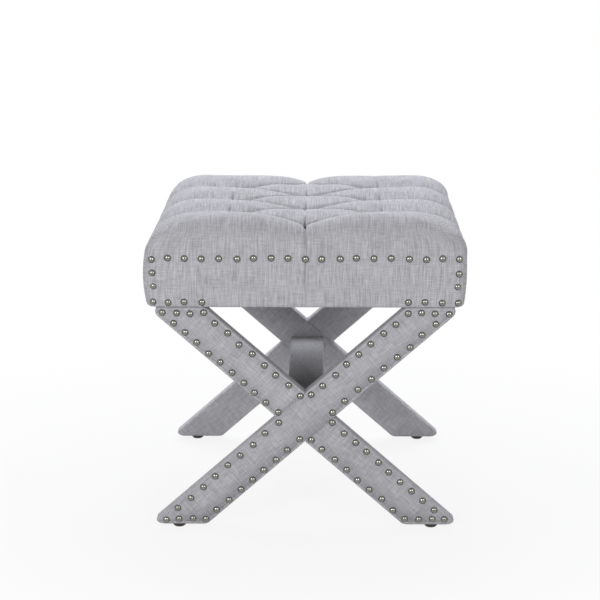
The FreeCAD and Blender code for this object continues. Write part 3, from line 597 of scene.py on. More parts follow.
box_points = np.array(box_points)
under = box_points[:, 2] <= FOOT + TINY
cloth_points = np.zeros((len(box_points), 2))
for face, (_, side) in zip(faces, cells):
    for c in face:
        cloth_points[c] = flat_place(box_points[c], side)
deep, creased = padding_depths(cloth_points)
creased &= ~under
deep[under] = 0
print("skin:", len(box_points), "points", len(faces), "cells", int(creased.sum()), "on creases")

# %% Split the cells along the pleats and shape the skin
shown, sides = [], []
for face, (cell, side) in zip(faces, cells):
    a, b, c, d = face
    on_top = side == (0, 0) and cell[0][2] == LAST_Z
    if on_top and creased[a] and creased[c] and not (creased[b] or creased[d]):
        parts = [(a, b, c), (a, c, d)]
    elif on_top and creased[b] and creased[d] and not (creased[a] or creased[c]):
        parts = [(a, b, d), (b, c, d)]
    else:
        parts = [face]
    shown += parts
    sides += [side] * len(parts)

skin = bpy.data.meshes.new("seat_skin")
skin.from_pydata([tuple(p) for p in stuffed(rolled(box_points))], [], shown)
skin.update()
formed = pressed_in(skin, deep)
move_points(skin, formed)
flat_cloth = skin.attributes.new("flat_cloth", "FLOAT_VECTOR", "POINT")
flat_cloth.data.foreach_set("vector", np.column_stack([cloth_points, under]).ravel())
lay_cloth(skin, [[flat_place(box_points[c], side) for c in face] for face, side in zip(shown, sides)])
print("skin faces:", len(skin.polygons))

# %% [markdown]
# ## Letting the cloth settle
# A formula gives clean pillows, but real padding pushes the cloth out as far as the cloth allows. So
# the skin becomes a cloth for twenty frames: held along the creases, at the tufts and from the nail row
# down, blown up from inside, with no gravity. The moves are then evened out between neighbours, which
# takes small ripples away, and capped. The result is kept as a plain mesh. The solver has no random
# part, so every run gives the same seat.

# %% Simulate the cloth
FRAMES = 20
HELD_BELOW = FOOT + 0.086
SWELL_CAP = 0.004
EVENING_ROUNDS = 8
CLOTH_SETTINGS = {
    "quality": 6, "mass": 0.25, "tension_stiffness": 20, "compression_stiffness": 20,
    "shear_stiffness": 10, "bending_stiffness": 0.8, "shrink_min": -0.02,
    "use_pressure": True, "uniform_pressure_force": 4,
}


def settled(mesh, held):
    """The places that the held cloth comes to when it is blown up for a few frames."""

    def blow_up(body, modifier):
        group = body.vertex_groups.new(name="held")
        for index in np.flatnonzero(held):
            group.add([int(index)], 1.0, "REPLACE")
        for name, value in CLOTH_SETTINGS.items():
            setattr(modifier.settings, name, value)
        modifier.settings.vertex_group_mass = group.name
        modifier.settings.effector_weights.gravity = 0
        modifier.collision_settings.use_collision = False
        modifier.point_cache.frame_end = FRAMES
        for number in range(1, FRAMES + 1):
            scene.frame_set(number)

    made = after_modifier("settling_cloth", mesh, "CLOTH", blow_up)
    scene.frame_set(1)
    return vectors(made.vertices, "co")


def evened_out(mesh, moves, fixed):
    """Each move drawn to the mean of its neighbours, so that the cloth keeps no small ripples."""
    ends = np.empty(len(mesh.edges) * 2, int)
    mesh.edges.foreach_get("vertices", ends)
    a, b = ends.reshape(-1, 2).T
    count = np.bincount(ends, minlength=len(moves))[:, None]
    for _ in range(EVENING_ROUNDS):
        total = np.zeros_like(moves)
        np.add.at(total, a, moves[b])
        np.add.at(total, b, moves[a])
        moves = np.where(fixed[:, None], moves, (moves + total / count) / 2)
    return moves


held = creased | (formed[:, 2] < HELD_BELOW)
moved = evened_out(skin, settled(skin.copy(), held) - formed, held)
length = np.maximum(np.linalg.norm(moved, axis=1), TINY)
capped = SWELL_CAP * np.tanh(length / SWELL_CAP)
move_points(skin, formed + moved * (capped / length)[:, None])
print("cloth moved", round(1000 * length.max(), 1), "mm, kept", round(1000 * capped.max(), 1))

# %% [markdown]
# ## Finishing the seat
# One level of subdivision rounds the pillows, and on that finer mesh the narrow folds are pressed in.
# The skin is then closed into a padded body: from the edge of the turned-under strip it goes up inside
# the walls to the deck, where a flat face ends it.

# %% Subdivide, fold and close the seat
COVER = 0.0025
DECK_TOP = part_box("seat_deck")[1].z
BENEATH = 0.25


def one_level(body, modifier):
    modifier.levels = modifier.render_levels = 1
    modifier.uv_smooth = "PRESERVE_BOUNDARIES"


def fold(mesh):
    """Presses the folds into the finer skin, by each point's place on the flat cloth."""
    flat = vectors(mesh.attributes["flat_cloth"].data, "vector")
    deep = fold_depths(flat[:, :2]) * (flat[:, 2] < BENEATH)
    move_points(mesh, pressed_in(mesh, deep))


def close_below(mesh):
    """Closes the skin with an inner wall and a flat face on the deck."""
    shape = bmesh.new()
    shape.from_mesh(mesh)
    rim = [edge for edge in shape.edges if edge.is_boundary]
    reach_x = max(abs(v.co.x) for edge in rim for v in edge.verts)
    reach_y = max(abs(v.co.y) for edge in rim for v in edge.verts)
    to_wall = (HALF_X - COVER - FOOT_DRAW) / reach_x, (HALF_Y - COVER - FOOT_DRAW) / reach_y
    steps = ((1, 1), FOOT + COVER), (to_wall, FOOT + COVER), ((1, 1), DECK_TOP)
    for (scale_x, scale_y), height in steps:
        made = bmesh.ops.extrude_edge_only(shape, edges=rim)["geom"]
        for item in made:
            if isinstance(item, bmesh.types.BMVert):
                item.co = (item.co.x * scale_x, item.co.y * scale_y, height)
        rim = [item for item in made if isinstance(item, bmesh.types.BMEdge)]
    bmesh.ops.edgeloop_fill(shape, edges=rim)
    bmesh.ops.recalc_face_normals(shape, faces=shape.faces)
    shape.to_mesh(mesh)
    shape.free()


seat_mesh = after_modifier("subdivided", skin, "SUBSURF", one_level)
fold(seat_mesh)
close_below(seat_mesh)
seat = piece("tufted_seat", seat_mesh, LINEN, ("seat_cover", "seat_foam"))

# %% [markdown]
# ## The crossed frames: outlines
# Each end frame is two flat bars in the shape of an X, wrapped in the same cloth. One bar runs through
# in one piece and the other is covered in two arms that butt against it. The outline of a piece is a
# strip along the bar, cut level at the seat and at the floor, so it is found by clipping a polygon. The
# corners are then rounded by averaging neighbouring points, as cloth pulled over wood rounds them, but
# they stay sharp where two covers butt.

# %% Outlines of the bars
BAR_KINDS = ("long", "upper_arm", "lower_arm")
FOOT_SAG, FOOT_STUFFING = 0.0005, 0.0025
BAR_RISE, BAR_SPREAD, BAR_WIDTH = 0.351, 0.398, 0.0595
FOOT_SPAN, TOP_SPAN = 0.472, 0.463
NOSE, NOSE_POINTS = 0.014, 8
BUTT_GAP = 0.0003
LONG_BUTT, ARM_BUTT = (-0.002, 0.004), (0.001, 0.006)
FINE_STEP, OUTLINE_STEP, SOFT_WINDOW = 0.001, 0.003, 5

FRAME_TOP, GLIDE_TOP = FOOT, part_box("glide_pads")[1].z
FRAME_FOOT = GLIDE_TOP - FOOT_SAG
LEAN = math.atan2(BAR_RISE, BAR_SPREAD)
BAR_HALF = BAR_WIDTH / 2
FOOT_HALF, TOP_HALF = FOOT_SPAN / 2 + FOOT_STUFFING, TOP_SPAN / 2
along = np.array((math.cos(LEAN), math.sin(LEAN)))
across = np.array((-math.sin(LEAN), math.cos(LEAN)))
MIRROR = np.array((-1, 1))
centre = np.array((0, (FRAME_TOP + GLIDE_TOP) / 2))


def clip(polygon, point, keep):
    """The part of a polygon that lies beyond a point in the direction keep."""
    kept = []
    for start, end in zip(polygon, polygon[1:] + polygon[:1]):
        a, b = (start - point) @ keep, (end - point) @ keep
        if a >= 0:
            kept.append(start)
        if a * b < 0:
            kept.append(start + (end - start) * (a / (a - b)))
    return kept


def frame_room():
    """The outline that both bars are cut to, with rounded noses at the floor."""
    points = []
    for hand, angles in ((-1, (180, 270)), (1, (270, 360))):
        for angle in np.radians(np.linspace(*angles, NOSE_POINTS)):
            points.append(np.array((hand * (FOOT_HALF - NOSE) + NOSE * math.cos(angle),
                                    FRAME_FOOT + NOSE + NOSE * math.sin(angle))))
    return points + [np.array((TOP_HALF, FRAME_TOP)), np.array((-TOP_HALF, FRAME_TOP))]


def evened(polygon, step):
    """Points at even steps round a closed outline."""
    ring = np.array(polygon + polygon[:1])
    run = np.append(0, np.cumsum(np.hypot(*np.diff(ring, axis=0).T)))
    places = np.linspace(0, run[-1], round(run[-1] / step), endpoint=False)
    return np.stack([np.interp(places, run, ring[:, axis]) for axis in (0, 1)], axis=1)


def softened(points, window):
    """Each point moved to the mean of its neighbours, over a window of its own."""
    out = points.copy()
    for index, half in enumerate(window):
        if half > 0:
            near = np.arange(index - half, index + half + 1) % len(points)
            out[index] = points[near].mean(axis=0)
    return out


def butt_share(points, kind):
    """1 where a cover meets the other bar, and 0 away from it."""
    other, (start, run) = (MIRROR * across, LONG_BUTT) if kind == "long" else (across, ARM_BUTT)
    return 1 - smooth_step((abs((points - centre) @ other) - BAR_HALF - start) / run)


def bar_outline(kind):
    """The outline of a long bar or of one of the arms, seen from outside, anticlockwise."""
    normal = across if kind == "long" else MIRROR * across
    polygon = frame_room()
    for sign in (-1, 1):
        polygon = clip(polygon, centre - sign * BAR_HALF * normal, sign * normal)
    if kind != "long":
        hand = 1 if kind == "upper_arm" else -1
        polygon = clip(polygon, centre + hand * (BAR_HALF + BUTT_GAP) * across, hand * across)
    fine = evened(polygon, FINE_STEP)
    window = np.round(SOFT_WINDOW * (1 - butt_share(fine, kind))).astype(int)
    return evened(list(softened(fine, window)), OUTLINE_STEP)


outlines = {kind: bar_outline(kind) for kind in BAR_KINDS}
print("outline points:", {kind: len(outline) for kind, outline in outlines.items()})

# %% [markdown]
# ## Wrapping a board in cloth
# A covered board is made from its outline: a flat face on each side, a wall between them, and rounded
# edges made of a few rings. The face is filled with small triangles, because the cloth on it isn't
# quite flat: it swells a little between the nails, and a strip that covers the outside has its raw
# edges folded under, which shows as a fine step just inside the edge.

# %% The covered board
EDGE_ROLL, EDGE_RINGS, WALL_STEPS = 0.0034, 4, 4
STRIP_INSET, STRIP_STEP, STRIP_GAP = 0.0050, 0.0008, 0.0009
FACE_STEP, FACE_MARGIN, SAME_SPOT = 0.0048, 0.55, 1e-7
BUTT_FIRMNESS = 0.8
BACK_SHIFT = 0.31


def ring_profile(half, roll, strip):
    """(inset, depth) of the rings from the edge of one face, round the wall, to the other face."""
    turns = [math.radians(90 * n / EDGE_RINGS) for n in range(EDGE_RINGS + 1)]
    back = [(roll * (1 - math.sin(t)), -half + roll * (1 - math.cos(t))) for t in reversed(turns)]
    rows = [(0, (half - roll) * (1 - 2 * n / WALL_STEPS)) for n in range(1, WALL_STEPS)]
    if not strip:
        return [(inset, -depth) for inset, depth in reversed(back)] + rows + back
    edge = half - STRIP_STEP
    lead = [(strip, half), (strip - STRIP_GAP / 3, edge - STRIP_STEP), (strip - STRIP_GAP, edge)]
    front = [(roll * (1 - math.sin(t)), edge - roll * (1 - math.cos(t))) for t in turns]
    return lead + front + rows + back


def face_triangles(rim, grain):
    """Small triangles inside a closed rim, on a grid that follows the grain."""
    low, high = (rim @ grain.T).min(axis=0), (rim @ grain.T).max(axis=0)
    lines = [np.arange(a + FACE_STEP / 2, b, FACE_STEP) for a, b in zip(low, high)]
    spots = np.stack(np.meshgrid(*lines), -1).reshape(-1, 2) @ grain
    edges = np.roll(rim, -1, axis=0) - rim
    normals = np.stack([-edges[:, 1], edges[:, 0]], 1) / np.hypot(*edges.T)[:, None]
    clear = ((spots[:, None, :] - rim[None]) * normals[None]).sum(-1).min(axis=1)
    spots = spots[clear > FACE_STEP * FACE_MARGIN]
    points = [Vector(p) for p in np.vstack([rim, spots])]
    rim_edges = [(n, (n + 1) % len(rim)) for n in range(len(rim))]
    made = geometry.delaunay_2d_cdt(points, rim_edges, [], 1, SAME_SPOT)
    return np.array([tuple(p) for p in made[0]]), made[2]


def covered_board(name, outline, half, grain, to_space, relief, butt, strip):
    """A mesh of a board wrapped in cloth: rings round the edge and two filled faces."""
    following = np.roll(outline, -1, axis=0) - np.roll(outline, 1, axis=0)
    inward = np.stack([-following[:, 1], following[:, 0]], 1) / np.hypot(*following.T)[:, None]
    softness = 1 - BUTT_FIRMNESS * butt
    points, wraps, faces, is_back = [], [], [], []
    profile = ring_profile(half, EDGE_ROLL, strip)
    count = len(outline)
    for inset, depth in profile:
        level = np.full(count, float(depth))
        if abs(depth) > half - EDGE_ROLL:
            level = np.sign(depth) * (half - (half - abs(depth)) * softness)
        flat = outline + inward * (inset * softness)[:, None]
        points += [(*p, d) for p, d in zip(flat, level)]
        wraps += list((flat - inward * (half - level)[:, None]) @ grain.T)
    rows = len(profile)
    for row in range(rows - 1):
        for n in range(count):
            a, b = row * count + n, row * count + (n + 1) % count
            faces.append((a, a + count, b + count, b))
            is_back.append(False)
    for start, back in ((0, False), ((rows - 1) * count, True)):
        rim = np.array([p[:2] for p in points[start:start + count]])
        level = points[start][2]
        inner, triangles = face_triangles(rim, grain)
        names = list(range(start, start + count))
        for p in inner[count:]:
            names.append(len(points))
            points.append((*p, level))
            wraps.append(grain @ p)
        for triangle in triangles:
            chosen = [names[c] for c in triangle]
            faces.append(tuple(reversed(chosen)) if back else tuple(chosen))
            is_back.append(back)
    points = np.array(points)
    points[:, 2] += relief(points)
    mesh = bpy.data.meshes.new(name)
    mesh.from_pydata([tuple(to_space(p)) for p in points], [], faces)
    behind = points[:, :2] @ grain.T + BACK_SHIFT
    lay_cloth(mesh, [[(behind if back else wraps)[c] for c in face] for face, back in zip(faces, is_back)])
    return mesh


# %% [markdown]
# ## Where the nails are
# The construction holds every nail as a small solid, many in one node. Their triangles are loose, so
# points at the same place are joined by number, and points that share a triangle belong to one nail. Of
# each nail the outermost points are the top of its head, and the innermost is the tip of its shank.

# %% Find each nail in the frame
NAIL_NODES = ("front_seat_nails", "rear_seat_nails", "front_leg_nails", "rear_leg_nails")
TOP_DEPTH, SAME_DIGITS = 0.0005, 5


def nail_places(node):
    """The top of each nail's head and the direction that it faces, read from a node of many nails."""
    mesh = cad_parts[node].data
    points = vectors(mesh.vertices, "co")
    _, same = np.unique(np.round(points, SAME_DIGITS), axis=0, return_inverse=True)
    same = same.ravel()
    triangles = same[np.array([tuple(p.vertices) for p in mesh.polygons])]
    group = np.arange(same.max() + 1)
    while True:
        lowest = group[triangles].min(axis=1)
        before = group.copy()
        np.minimum.at(group, triangles.ravel(), np.repeat(lowest, 3))
        group = group[group]
        if (group == before).all():
            break
    owners = group[same]
    found = []
    for owner in np.unique(owners):
        own = points[owners == owner]
        out = abs(own[:, 1])
        top = own[out > out.max() - TOP_DEPTH].mean(axis=0)
        facing = top - own[np.argmin(out)]
        found.append((top, facing / np.linalg.norm(facing)))
    return found


nails = {node: nail_places(node) for node in NAIL_NODES}
print({node: len(found) for node, found in nails.items()})

# %% [markdown]
# ## The covers of the frames
# The rear frame is the front one turned half round, so one function makes both. Nails pull the cloth
# tight, and between them it stands up by less than a millimetre. A slow noise makes the hand-pulled
# cloth a little uneven.

# %% Cover the frames
front_low, front_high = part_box("front_long_cover")
FRAME_Y = (front_low.y + front_high.y) / -2
BOARD_HALF = (front_high.y - front_low.y) / 2
SWELL, HOLLOW, UNEVEN = 0.0007, 0.0004, 0.0003
NAIL_PULL, NAIL_SEAT = 0.007, 0.007
FACE_DEPTH = 0.002
FRAME_WAVES, FRAME_LAYER = 22, 3.1


def waves(flat, scale, layer):
    """A slow noise at points of a plane."""
    return np.array([noise.noise(Vector((a * scale, b * scale, layer))) for a, b in flat])


def frame_relief(turn, end):
    """A function that says how far the cloth stands out from the flat board."""
    spots = np.array([(turn * top[0], top[2]) for top, _ in nails[f"{end}_leg_nails"]])

    def relief(points):
        flat, depth = points[:, :2], points[:, 2]
        near = np.hypot(*(flat[:, None, :] - spots[None]).transpose(2, 0, 1)).min(axis=1)
        outside = np.clip((depth - BOARD_HALF + FACE_DEPTH) / FACE_DEPTH, 0, 1)
        inside = np.clip((-depth - BOARD_HALF + FACE_DEPTH) / FACE_DEPTH, 0, 1)
        wave = UNEVEN * waves(flat, FRAME_WAVES, turn * FRAME_LAYER)
        pull = 1 - np.exp(-(np.maximum(near - NAIL_SEAT, 0) / NAIL_PULL) ** 2)
        return outside * (SWELL + wave) * pull - inside * (HOLLOW + wave)

    return relief


for turn, end in ((1, "front"), (-1, "rear")):
    for kind, outline in outlines.items():
        axis, normal = (along, across) if kind == "long" else (-MIRROR * along, -MIRROR * across)
        mesh = covered_board(
            f"{end}_{kind}_cloth", outline, BOARD_HALF, np.array((axis, normal)),
            lambda p, turn=turn: (turn * p[0], -turn * (FRAME_Y + p[2]), p[1]),
            frame_relief(turn, end), butt_share(outline, kind), STRIP_INSET)
        piece(f"{end}_{kind}_cloth", mesh, BAR_LINEN, (f"{end}_{kind}_cover",))

# %% [markdown]
# ## The stretcher
# A flat board joins the two frames at their crossings, wrapped in the same cloth. It is a covered board
# too, lying flat, with its outline seen from above.

# %% Cover the stretcher
STRETCHER_STEP, STRETCHER_BUTT = 0.0045, 0.004
STRETCHER_SWELL, STRETCHER_FACE = 0.0005, 0.001
STRETCHER_WAVES, STRETCHER_LAYER = 18, 7.7
low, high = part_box("stretcher_cover")
rectangle = [np.array(p) for p in ((low.x, low.y), (high.x, low.y), (high.x, high.y), (low.x, high.y))]
stretcher_outline = evened(rectangle, STRETCHER_STEP)
stretcher_butt = 1 - smooth_step((high.y - abs(stretcher_outline[:, 1])) / STRETCHER_BUTT)
stretcher_level, stretcher_half = (low.z + high.z) / 2, (high.z - low.z) / 2


def stretcher_relief(points):
    on_face = abs(points[:, 2]) > stretcher_half - STRETCHER_FACE
    swell = STRETCHER_SWELL + STRETCHER_SWELL * waves(points[:, :2], STRETCHER_WAVES, STRETCHER_LAYER)
    return np.sign(points[:, 2]) * on_face * swell


stretcher_mesh = covered_board(
    "stretcher_cloth", stretcher_outline, stretcher_half, np.array(((0.0, 1.0), (-1.0, 0.0))),
    lambda p: (p[0], p[1], stretcher_level + p[2]), stretcher_relief, stretcher_butt, 0)
piece("stretcher_cloth", stretcher_mesh, BAR_LINEN, ("stretcher_cover",))

# %% [markdown]
# ## Nail heads
# The nails are domed heads of aged nickel on a short shank. Hundreds of copies are a task for Geometry
# Nodes. One head is a flat grid bent round into a turned shape: along one side of the grid runs the
# angle, along the other the profile, which two curves give as radius and height. The head is then placed
# on every point, facing the way that the point says, with a small seeded wander and tilt, because nails
# are driven by hand.

# %% Build the nail tree
HEAD_ROWS = ((0, 1), (0.36, 0.92), (0.64, 0.74), (0.85, 0.46), (0.97, 0.16), (1, -0.02))
SHANK_ROWS = ((0.15, -0.06), (0, -2.2))
NAIL_ROWS = HEAD_ROWS + SHANK_ROWS
DEEPEST, JOIN_WITHIN = -2.5, 1e-6
HEAD_SIDES = 12
NAIL_SOCKETS = {
    "Places": "Geometry", "Head Radius": "Float", "Dome Height": "Float", "Wander": "Float",
    "Tilt": "Float", "Seed": "Int", "Finish": "Material",
}


def nail_tree():
    """A node tree that drives a turned nail head into every point of a mesh."""
    tree = bpy.data.node_groups.new("nail_heads", "GeometryNodeTree")
    graph = Graph(tree)
    tree.interface.new_socket("Geometry", in_out="OUTPUT", socket_type="NodeSocketGeometry")
    names = {}
    for name, kind in NAIL_SOCKETS.items():
        socket = tree.interface.new_socket(name, in_out="INPUT", socket_type="NodeSocket" + kind)
        names[name] = socket.identifier
    inputs = graph.node("NodeGroupInput")
    given = {name: inputs.output(name) for name in NAIL_SOCKETS}

    def curve(share, values, low, high):
        """A value that runs through the given ones, at even steps of the share."""
        line = graph.node("ShaderNodeFloatCurve", None, {"Value": share})
        mapping = line.socket.node.mapping
        points = mapping.curves[0].points
        steps = [(n / (len(values) - 1), (v - low) / (high - low)) for n, v in enumerate(values)]
        points[0].location, points[1].location = steps[0], steps[-1]
        for step in steps[1:-1]:
            points.new(*step)
        for point in points:
            point.handle_type = "VECTOR"
        mapping.update()
        return line * (high - low) + low

    def chance(reach, seed):
        """A random step along the face, up to a reach."""
        least, most = [graph.node("ShaderNodeVectorMath", {"operation": "SCALE"}, {
            0: (way, 0, way), "Scale": reach}) for way in (-1, 1)]
        return graph.node("FunctionNodeRandomValue", {"data_type": "FLOAT_VECTOR"}, {
            0: least, 1: most, "Seed": seed})

    grid = graph.node("GeometryNodeMeshGrid", None, {
        "Size X": 1.0, "Size Y": 1.0, "Vertices X": HEAD_SIDES + 1, "Vertices Y": len(NAIL_ROWS)})
    place = graph.node("ShaderNodeSeparateXYZ", None, {0: graph.node("GeometryNodeInputPosition")})
    angle = place * (-2 * math.pi)
    share = place.output("Y") + 0.5
    radius = curve(share, [r for r, _ in NAIL_ROWS], 0, 1) * given["Head Radius"]
    height = curve(share, [h for _, h in NAIL_ROWS], DEEPEST, 1) * given["Dome Height"]
    turned = graph.node("ShaderNodeCombineXYZ", None, {
        0: radius * angle.cosine(), 1: radius * angle.sine(), 2: height})
    marked = graph.node("GeometryNodeStoreNamedAttribute", {"data_type": "FLOAT", "domain": "POINT"}, {
        "Geometry": grid, "Name": "dome", "Value": share})
    head = graph.node("GeometryNodeSetPosition", None, {"Geometry": marked, "Position": turned})
    head = graph.node("GeometryNodeMergeByDistance", None, {"Geometry": head, "Distance": JOIN_WITHIN})
    head = graph.node("GeometryNodeSetShadeSmooth", None, {"Geometry": head})

    moved = graph.node("GeometryNodeSetPosition", None, {
        "Geometry": given["Places"], "Offset": chance(given["Wander"], given["Seed"])})
    facing = graph.node("GeometryNodeInputNamedAttribute", {"data_type": "FLOAT_VECTOR"}, {
        "Name": "facing"})
    leaning = graph.node("ShaderNodeVectorMath", {"operation": "ADD"}, {
        0: facing, 1: chance(given["Tilt"], given["Seed"] + 1.0)})
    turn = graph.node("FunctionNodeAlignRotationToVector", {"axis": "Z"}, {"Vector": leaning})
    placed = graph.node("GeometryNodeInstanceOnPoints", None, {
        "Points": moved, "Instance": head, "Rotation": turn})
    real = graph.node("GeometryNodeRealizeInstances", None, {"Geometry": placed})
    done = graph.node("GeometryNodeSetMaterial", None, {"Geometry": real, "Material": given["Finish"]})
    graph.node("NodeGroupOutput", None, {0: done})
    return tree, names


NAIL_TREE, NAIL_INPUTS = nail_tree()
print("nail tree:", len(NAIL_TREE.nodes), "nodes")

# %% [markdown]
# ## Aged nickel
# The heads are bright where hands and cloth rub them. Towards the rim they turn dark, partly from the dip
# that stays in the corner under the rim and partly as painted shade where the head meets the cloth. The
# tree stored on each point how far down the profile it lies, and the colour follows that.

# %% Mix the nickel
# The dark colour is partly patina under the rim and partly painted shade where the head meets the cloth.
BRIGHT_NICKEL, RIM_PATINA_AND_SHADE = (0.225, 0.220, 0.200), (0.022, 0.020, 0.018)
RIM_SHADE_FROM, RIM_SHADE_TO = 0.32, 0.62


def aged_nickel(name):
    finish = Finish(name)
    down = finish.node("ShaderNodeAttribute", {"attribute_name": "dome"}, output="Fac")
    cloud = finish.noise(finish.object_place(), 260.0) - 0.5
    # Share of the dark rim colour, growing down the profile: patina plus painted shade at the rim.
    patina_and_shade_share = finish.spread(down + cloud * 0.20, RIM_SHADE_FROM, RIM_SHADE_TO)
    return finish.surface({
        "Base Color": finish.blend(patina_and_shade_share, BRIGHT_NICKEL, RIM_PATINA_AND_SHADE),
        "Metallic": 1.0,
        "Roughness": 0.15 + patina_and_shade_share * 0.25 + cloud * 0.12,
    })


NICKEL = aged_nickel("aged_nickel")
print("nickel:", len(NICKEL.node_tree.nodes), "nodes")

# %% Drive the nails
DOME = 0.0036
NAIL_SETTINGS = {
    "Head Radius": 0.0055, "Dome Height": DOME, "Wander": 0.0013, "Tilt": 0.07, "Finish": NICKEL,
}
SEED_STEP = 11


def drive(name, node, seed):
    """Heads on all the nails of a node, as one plain mesh."""
    found = nails[node]
    places = bpy.data.meshes.new(name + "_places")
    places.from_pydata([tuple(top - DOME * facing) for top, facing in found], [], [])
    facing = places.attributes.new("facing", "FLOAT_VECTOR", "POINT")
    facing.data.foreach_set("vector", np.array([f for _, f in found], np.float32).ravel())

    def set_inputs(body, modifier):
        modifier.node_group = NAIL_TREE
        for key, value in {**NAIL_SETTINGS, "Seed": seed}.items():
            modifier[NAIL_INPUTS[key]] = value

    return piece(name, after_modifier("nails", places, "NODES", set_inputs), NICKEL, (node,))


for number, node in enumerate(NAIL_NODES):
    drive(node.replace("nails", "nail_heads"), node, SEED_STEP * number)

# %% [markdown]
# ## The cloth under the seat
# A thin black cloth closes the seat from below. It is held between the slats and the brackets at both
# ends and sags a little in the middle, so it is a grid with a shallow curve, given a thickness.


# %% Hang the dust cloth
def felted(name, dark, pale):
    finish = Finish(name)
    place = finish.object_place()
    fibres = finish.noise(place, 900.0, 4.0, 0.7)
    clouds = finish.noise(place, 60.0, 2.0)
    return finish.surface({
        "Base Color": finish.blend(finish.spread(fibres * 0.7 + clouds * 0.3, 0.3, 0.7), dark, pale),
        "Roughness": 0.82 + fibres * 0.15,
        "Normal": finish.bump(fibres, 0.4, 0.0004),
    })


DUST_CLOTH = felted("dust_cloth", (0.010, 0.010, 0.011), (0.035, 0.035, 0.038))
DUST_COLUMNS, DUST_ROWS, DUST_THICKNESS = 48, 46, 0.0008
SAG, RIPPLE, RIPPLE_SCALE = 0.004, 0.0003, 40
dust_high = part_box("dust_cover")[1]
slat_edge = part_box("rear_leg_slat")[0].y
net = bmesh.new()
bmesh.ops.create_grid(net, x_segments=DUST_COLUMNS, y_segments=DUST_ROWS, size=1)
for vertex in net.verts:
    x, y = vertex.co.x * dust_high.x, vertex.co.y * dust_high.y
    free = max(0.0, 1 - (y / slat_edge) ** 2) * (1 - (x / dust_high.x) ** 2)
    ripple = RIPPLE * noise.noise(Vector((x * RIPPLE_SCALE, y * RIPPLE_SCALE, 1)))
    vertex.co = (x, y, dust_high.z - SAG * free + ripple * free)
dust_mesh = bpy.data.meshes.new("dust_sheet")
net.to_mesh(dust_mesh)
net.free()
dust = piece("dust_sheet", dust_mesh, DUST_CLOTH, ("dust_cover",))
thickness = dust.modifiers.new("thickness", "SOLIDIFY")
thickness.thickness = DUST_THICKNESS
thickness.offset = -1

# %% [markdown]
# ## Finishes of the hidden frame
# Wood, screws and brackets lie under the cloth, and some of them show from below. They keep their shapes
# and only get finishes: a grain along the boards, layers in the plywood, a clouded zinc on the steel.


# %% Mix the other finishes
def timber(name, dark, pale, grain):
    finish = Finish(name)
    rings = finish.noise(finish.object_place(grain), 1.0, 5.0, 0.62)
    pores = finish.noise(finish.object_place(tuple(9 * g for g in grain)), 1.0, 2.0)
    tone = finish.spread(rings * 0.75 + pores * 0.25, 0.3, 0.7)
    return finish.surface({
        "Base Color": finish.blend(tone, dark, pale),
        "Roughness": 0.5 + pores * 0.3,
        "Normal": finish.bump(pores, 0.2, 0.0003),
    })


def zinc(name, dark, pale):
    finish = Finish(name)
    clouds = finish.noise(finish.object_place(), 180.0, 4.0)
    return finish.surface({
        "Base Color": finish.blend(clouds, dark, pale),
        "Metallic": 1.0,
        "Roughness": 0.22 + clouds * 0.3,
    })


def moulded(name, dark, pale):
    finish = Finish(name)
    place = finish.object_place()
    grain = finish.noise(place, 700.0, 2.0)
    scuffs = finish.noise(place, 90.0, 4.0)
    return finish.surface({
        "Base Color": finish.blend(finish.spread(scuffs, 0.4, 0.75), dark, pale),
        "Roughness": 0.38 + scuffs * 0.3,
        "Normal": finish.bump(grain, 0.15, 0.0002),
    })


def twisted(name, dark, pale):
    finish = Finish(name)
    lay = finish.noise(finish.object_place((300, 300, 1400)), 1.0)
    return finish.surface({
        "Base Color": finish.blend(lay, dark, pale),
        "Roughness": 0.85 + lay * 0.1,
        "Normal": finish.bump(lay, 0.5, 0.0004),
    })


FINISHES = {
    "hardwood": timber("hardwood", (0.36, 0.22, 0.115), (0.56, 0.38, 0.22), (12, 60, 60)),
    "plywood": timber("plywood", (0.45, 0.31, 0.18), (0.66, 0.50, 0.33), (14, 30, 650)),
    "zinc_steel": zinc("zinc_steel", (0.15, 0.155, 0.16), (0.27, 0.27, 0.265)),
    "glide_plastic": moulded("glide_plastic", (0.012, 0.004, 0.005), (0.032, 0.012, 0.014)),
    "twine": twisted("twine", (0.45, 0.38, 0.27), (0.75, 0.68, 0.55)),
    "toggle_plastic": moulded("toggle_plastic", (0.60, 0.60, 0.58), (0.72, 0.72, 0.70)),
}
print("finishes:", list(FINISHES))

# %% Give every shown node its finish
SLOT_ENDINGS = {
    "plywood": ("seat_deck",),
    "zinc_steel": ("screws", "bolts", "inserts", "brackets", "staples", "glide_nails"),
    "glide_plastic": ("glide_pads",),
    "twine": ("tuft_twines",),
    "toggle_plastic": ("tuft_toggles",),
}
for name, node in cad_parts.items():
    if node.hide_render:
        continue
    slot = next((s for s, endings in SLOT_ENDINGS.items() if name.endswith(endings)), "hardwood")
    node.data.materials.clear()
    node.data.materials.append(FINISHES[slot])
    print(name, "->", slot)

# %% [markdown]
# ## Floor and light
# The picture has a white ground and soft light. The floor is pale and keeps the object's shadow close
# by. Further off it turns into plain white for the camera and in reflections, by asking what kind of ray
# is looking, so that the cloth gets no extra light from it. Three large lamps, a little cool, stand
# behind the seat and light its top, and two smaller ones in front light the face. Large lamps give soft
# edges to shadows.

# %% Lay the floor
FLOOR_HALF = 30.0
FLOOR_GREY = 0.65
NEAR, FAR = 0.35, 1.1
NEAR_WHITE = 0.87


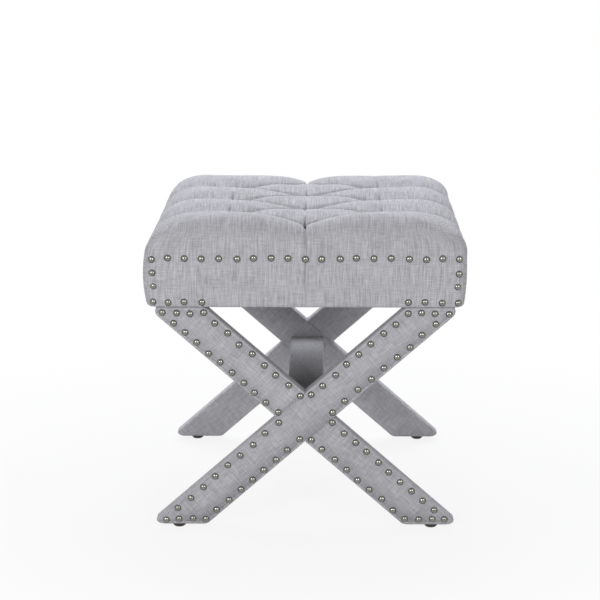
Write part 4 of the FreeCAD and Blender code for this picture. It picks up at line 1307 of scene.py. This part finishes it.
def pale_floor(name):
    finish = Finish(name)
    place = finish.node("ShaderNodeTexCoord", output="Object")
    away = finish.node("ShaderNodeVectorMath", {"operation": "LENGTH"}, {0: place}, output="Value")
    far = finish.node("ShaderNodeMapRange", {"interpolation_type": "SMOOTHSTEP"}, {
        0: away, 1: NEAR, 2: FAR})
    share = finish.background_rays() * (NEAR_WHITE + far * (1 - NEAR_WHITE))
    paint = finish.node("ShaderNodeBsdfDiffuse", None, {"Color": (FLOOR_GREY, FLOOR_GREY, FLOOR_GREY, 1)})
    glow = finish.node("ShaderNodeEmission", None, {"Color": (1, 1, 1, 1), "Strength": 1.0})
    mixed = finish.node("ShaderNodeMixShader", None, {0: share, 1: paint, 2: glow})
    finish.node("ShaderNodeOutputMaterial", None, {"Surface": mixed})
    return finish.block


floor_mesh = bpy.data.meshes.new("floor")
floor_corners = [(FLOOR_HALF * x, FLOOR_HALF * y, 0) for x, y in ((-1, -1), (1, -1), (1, 1), (-1, 1))]
floor_mesh.from_pydata(floor_corners, [], [(0, 1, 2, 3)])
floor_mesh.materials.append(pale_floor("pale_floor"))
floor = bpy.data.objects.new("floor", floor_mesh)
scene.collection.objects.link(floor)
print("floor:", 2 * FLOOR_HALF, "m wide")

# %% Hang the lamps
COOL, NEUTRAL = (0.925, 0.95, 1.0), (1.0, 1.0, 1.0)
LAMPS = {
    "rear": ((0.2, 2.4, 2.4), 1.8, 74.0, COOL),
    "rear_left": ((-2.1, 1.5, 2.5), 1.4, 40.0, COOL),
    "rear_right": ((2.1, 1.5, 2.5), 1.4, 24.0, COOL),
    "front_left": ((-1.5, -2.7, 1.35), 0.8, 39.0, NEUTRAL),
    "front_right": ((1.6, -2.7, 1.35), 0.8, 28.0, NEUTRAL),
}
AIM = Vector((0, 0, 0.3))
for name, (spot, size, power, tint) in LAMPS.items():
    lamp = bpy.data.lights.new(name, "AREA")
    lamp.shape = "SQUARE"
    lamp.size = size
    lamp.energy = power
    lamp.color = tint
    holder = bpy.data.objects.new(name, lamp)
    holder.location = spot
    holder.visible_camera = False
    holder.rotation_euler = (AIM - Vector(spot)).to_track_quat("-Z", "Y").to_euler()
    scene.collection.objects.link(holder)
print("lamps:", list(LAMPS))

# %% Fill the rest with even light
AMBIENT = 0.19
sky = Finish("studio", "worlds")
dim, white = [sky.node("ShaderNodeBackground", None, {"Color": (1, 1, 1, 1), "Strength": strength})
              for strength in (AMBIENT, 1.0)]
both = sky.node("ShaderNodeMixShader", None, {0: sky.background_rays(), 1: dim, 2: white})
sky.node("ShaderNodeOutputWorld", None, {"Surface": both})
scene.world = sky.block
scene.view_settings.view_transform = "Standard"
print("ambient light:", AMBIENT)
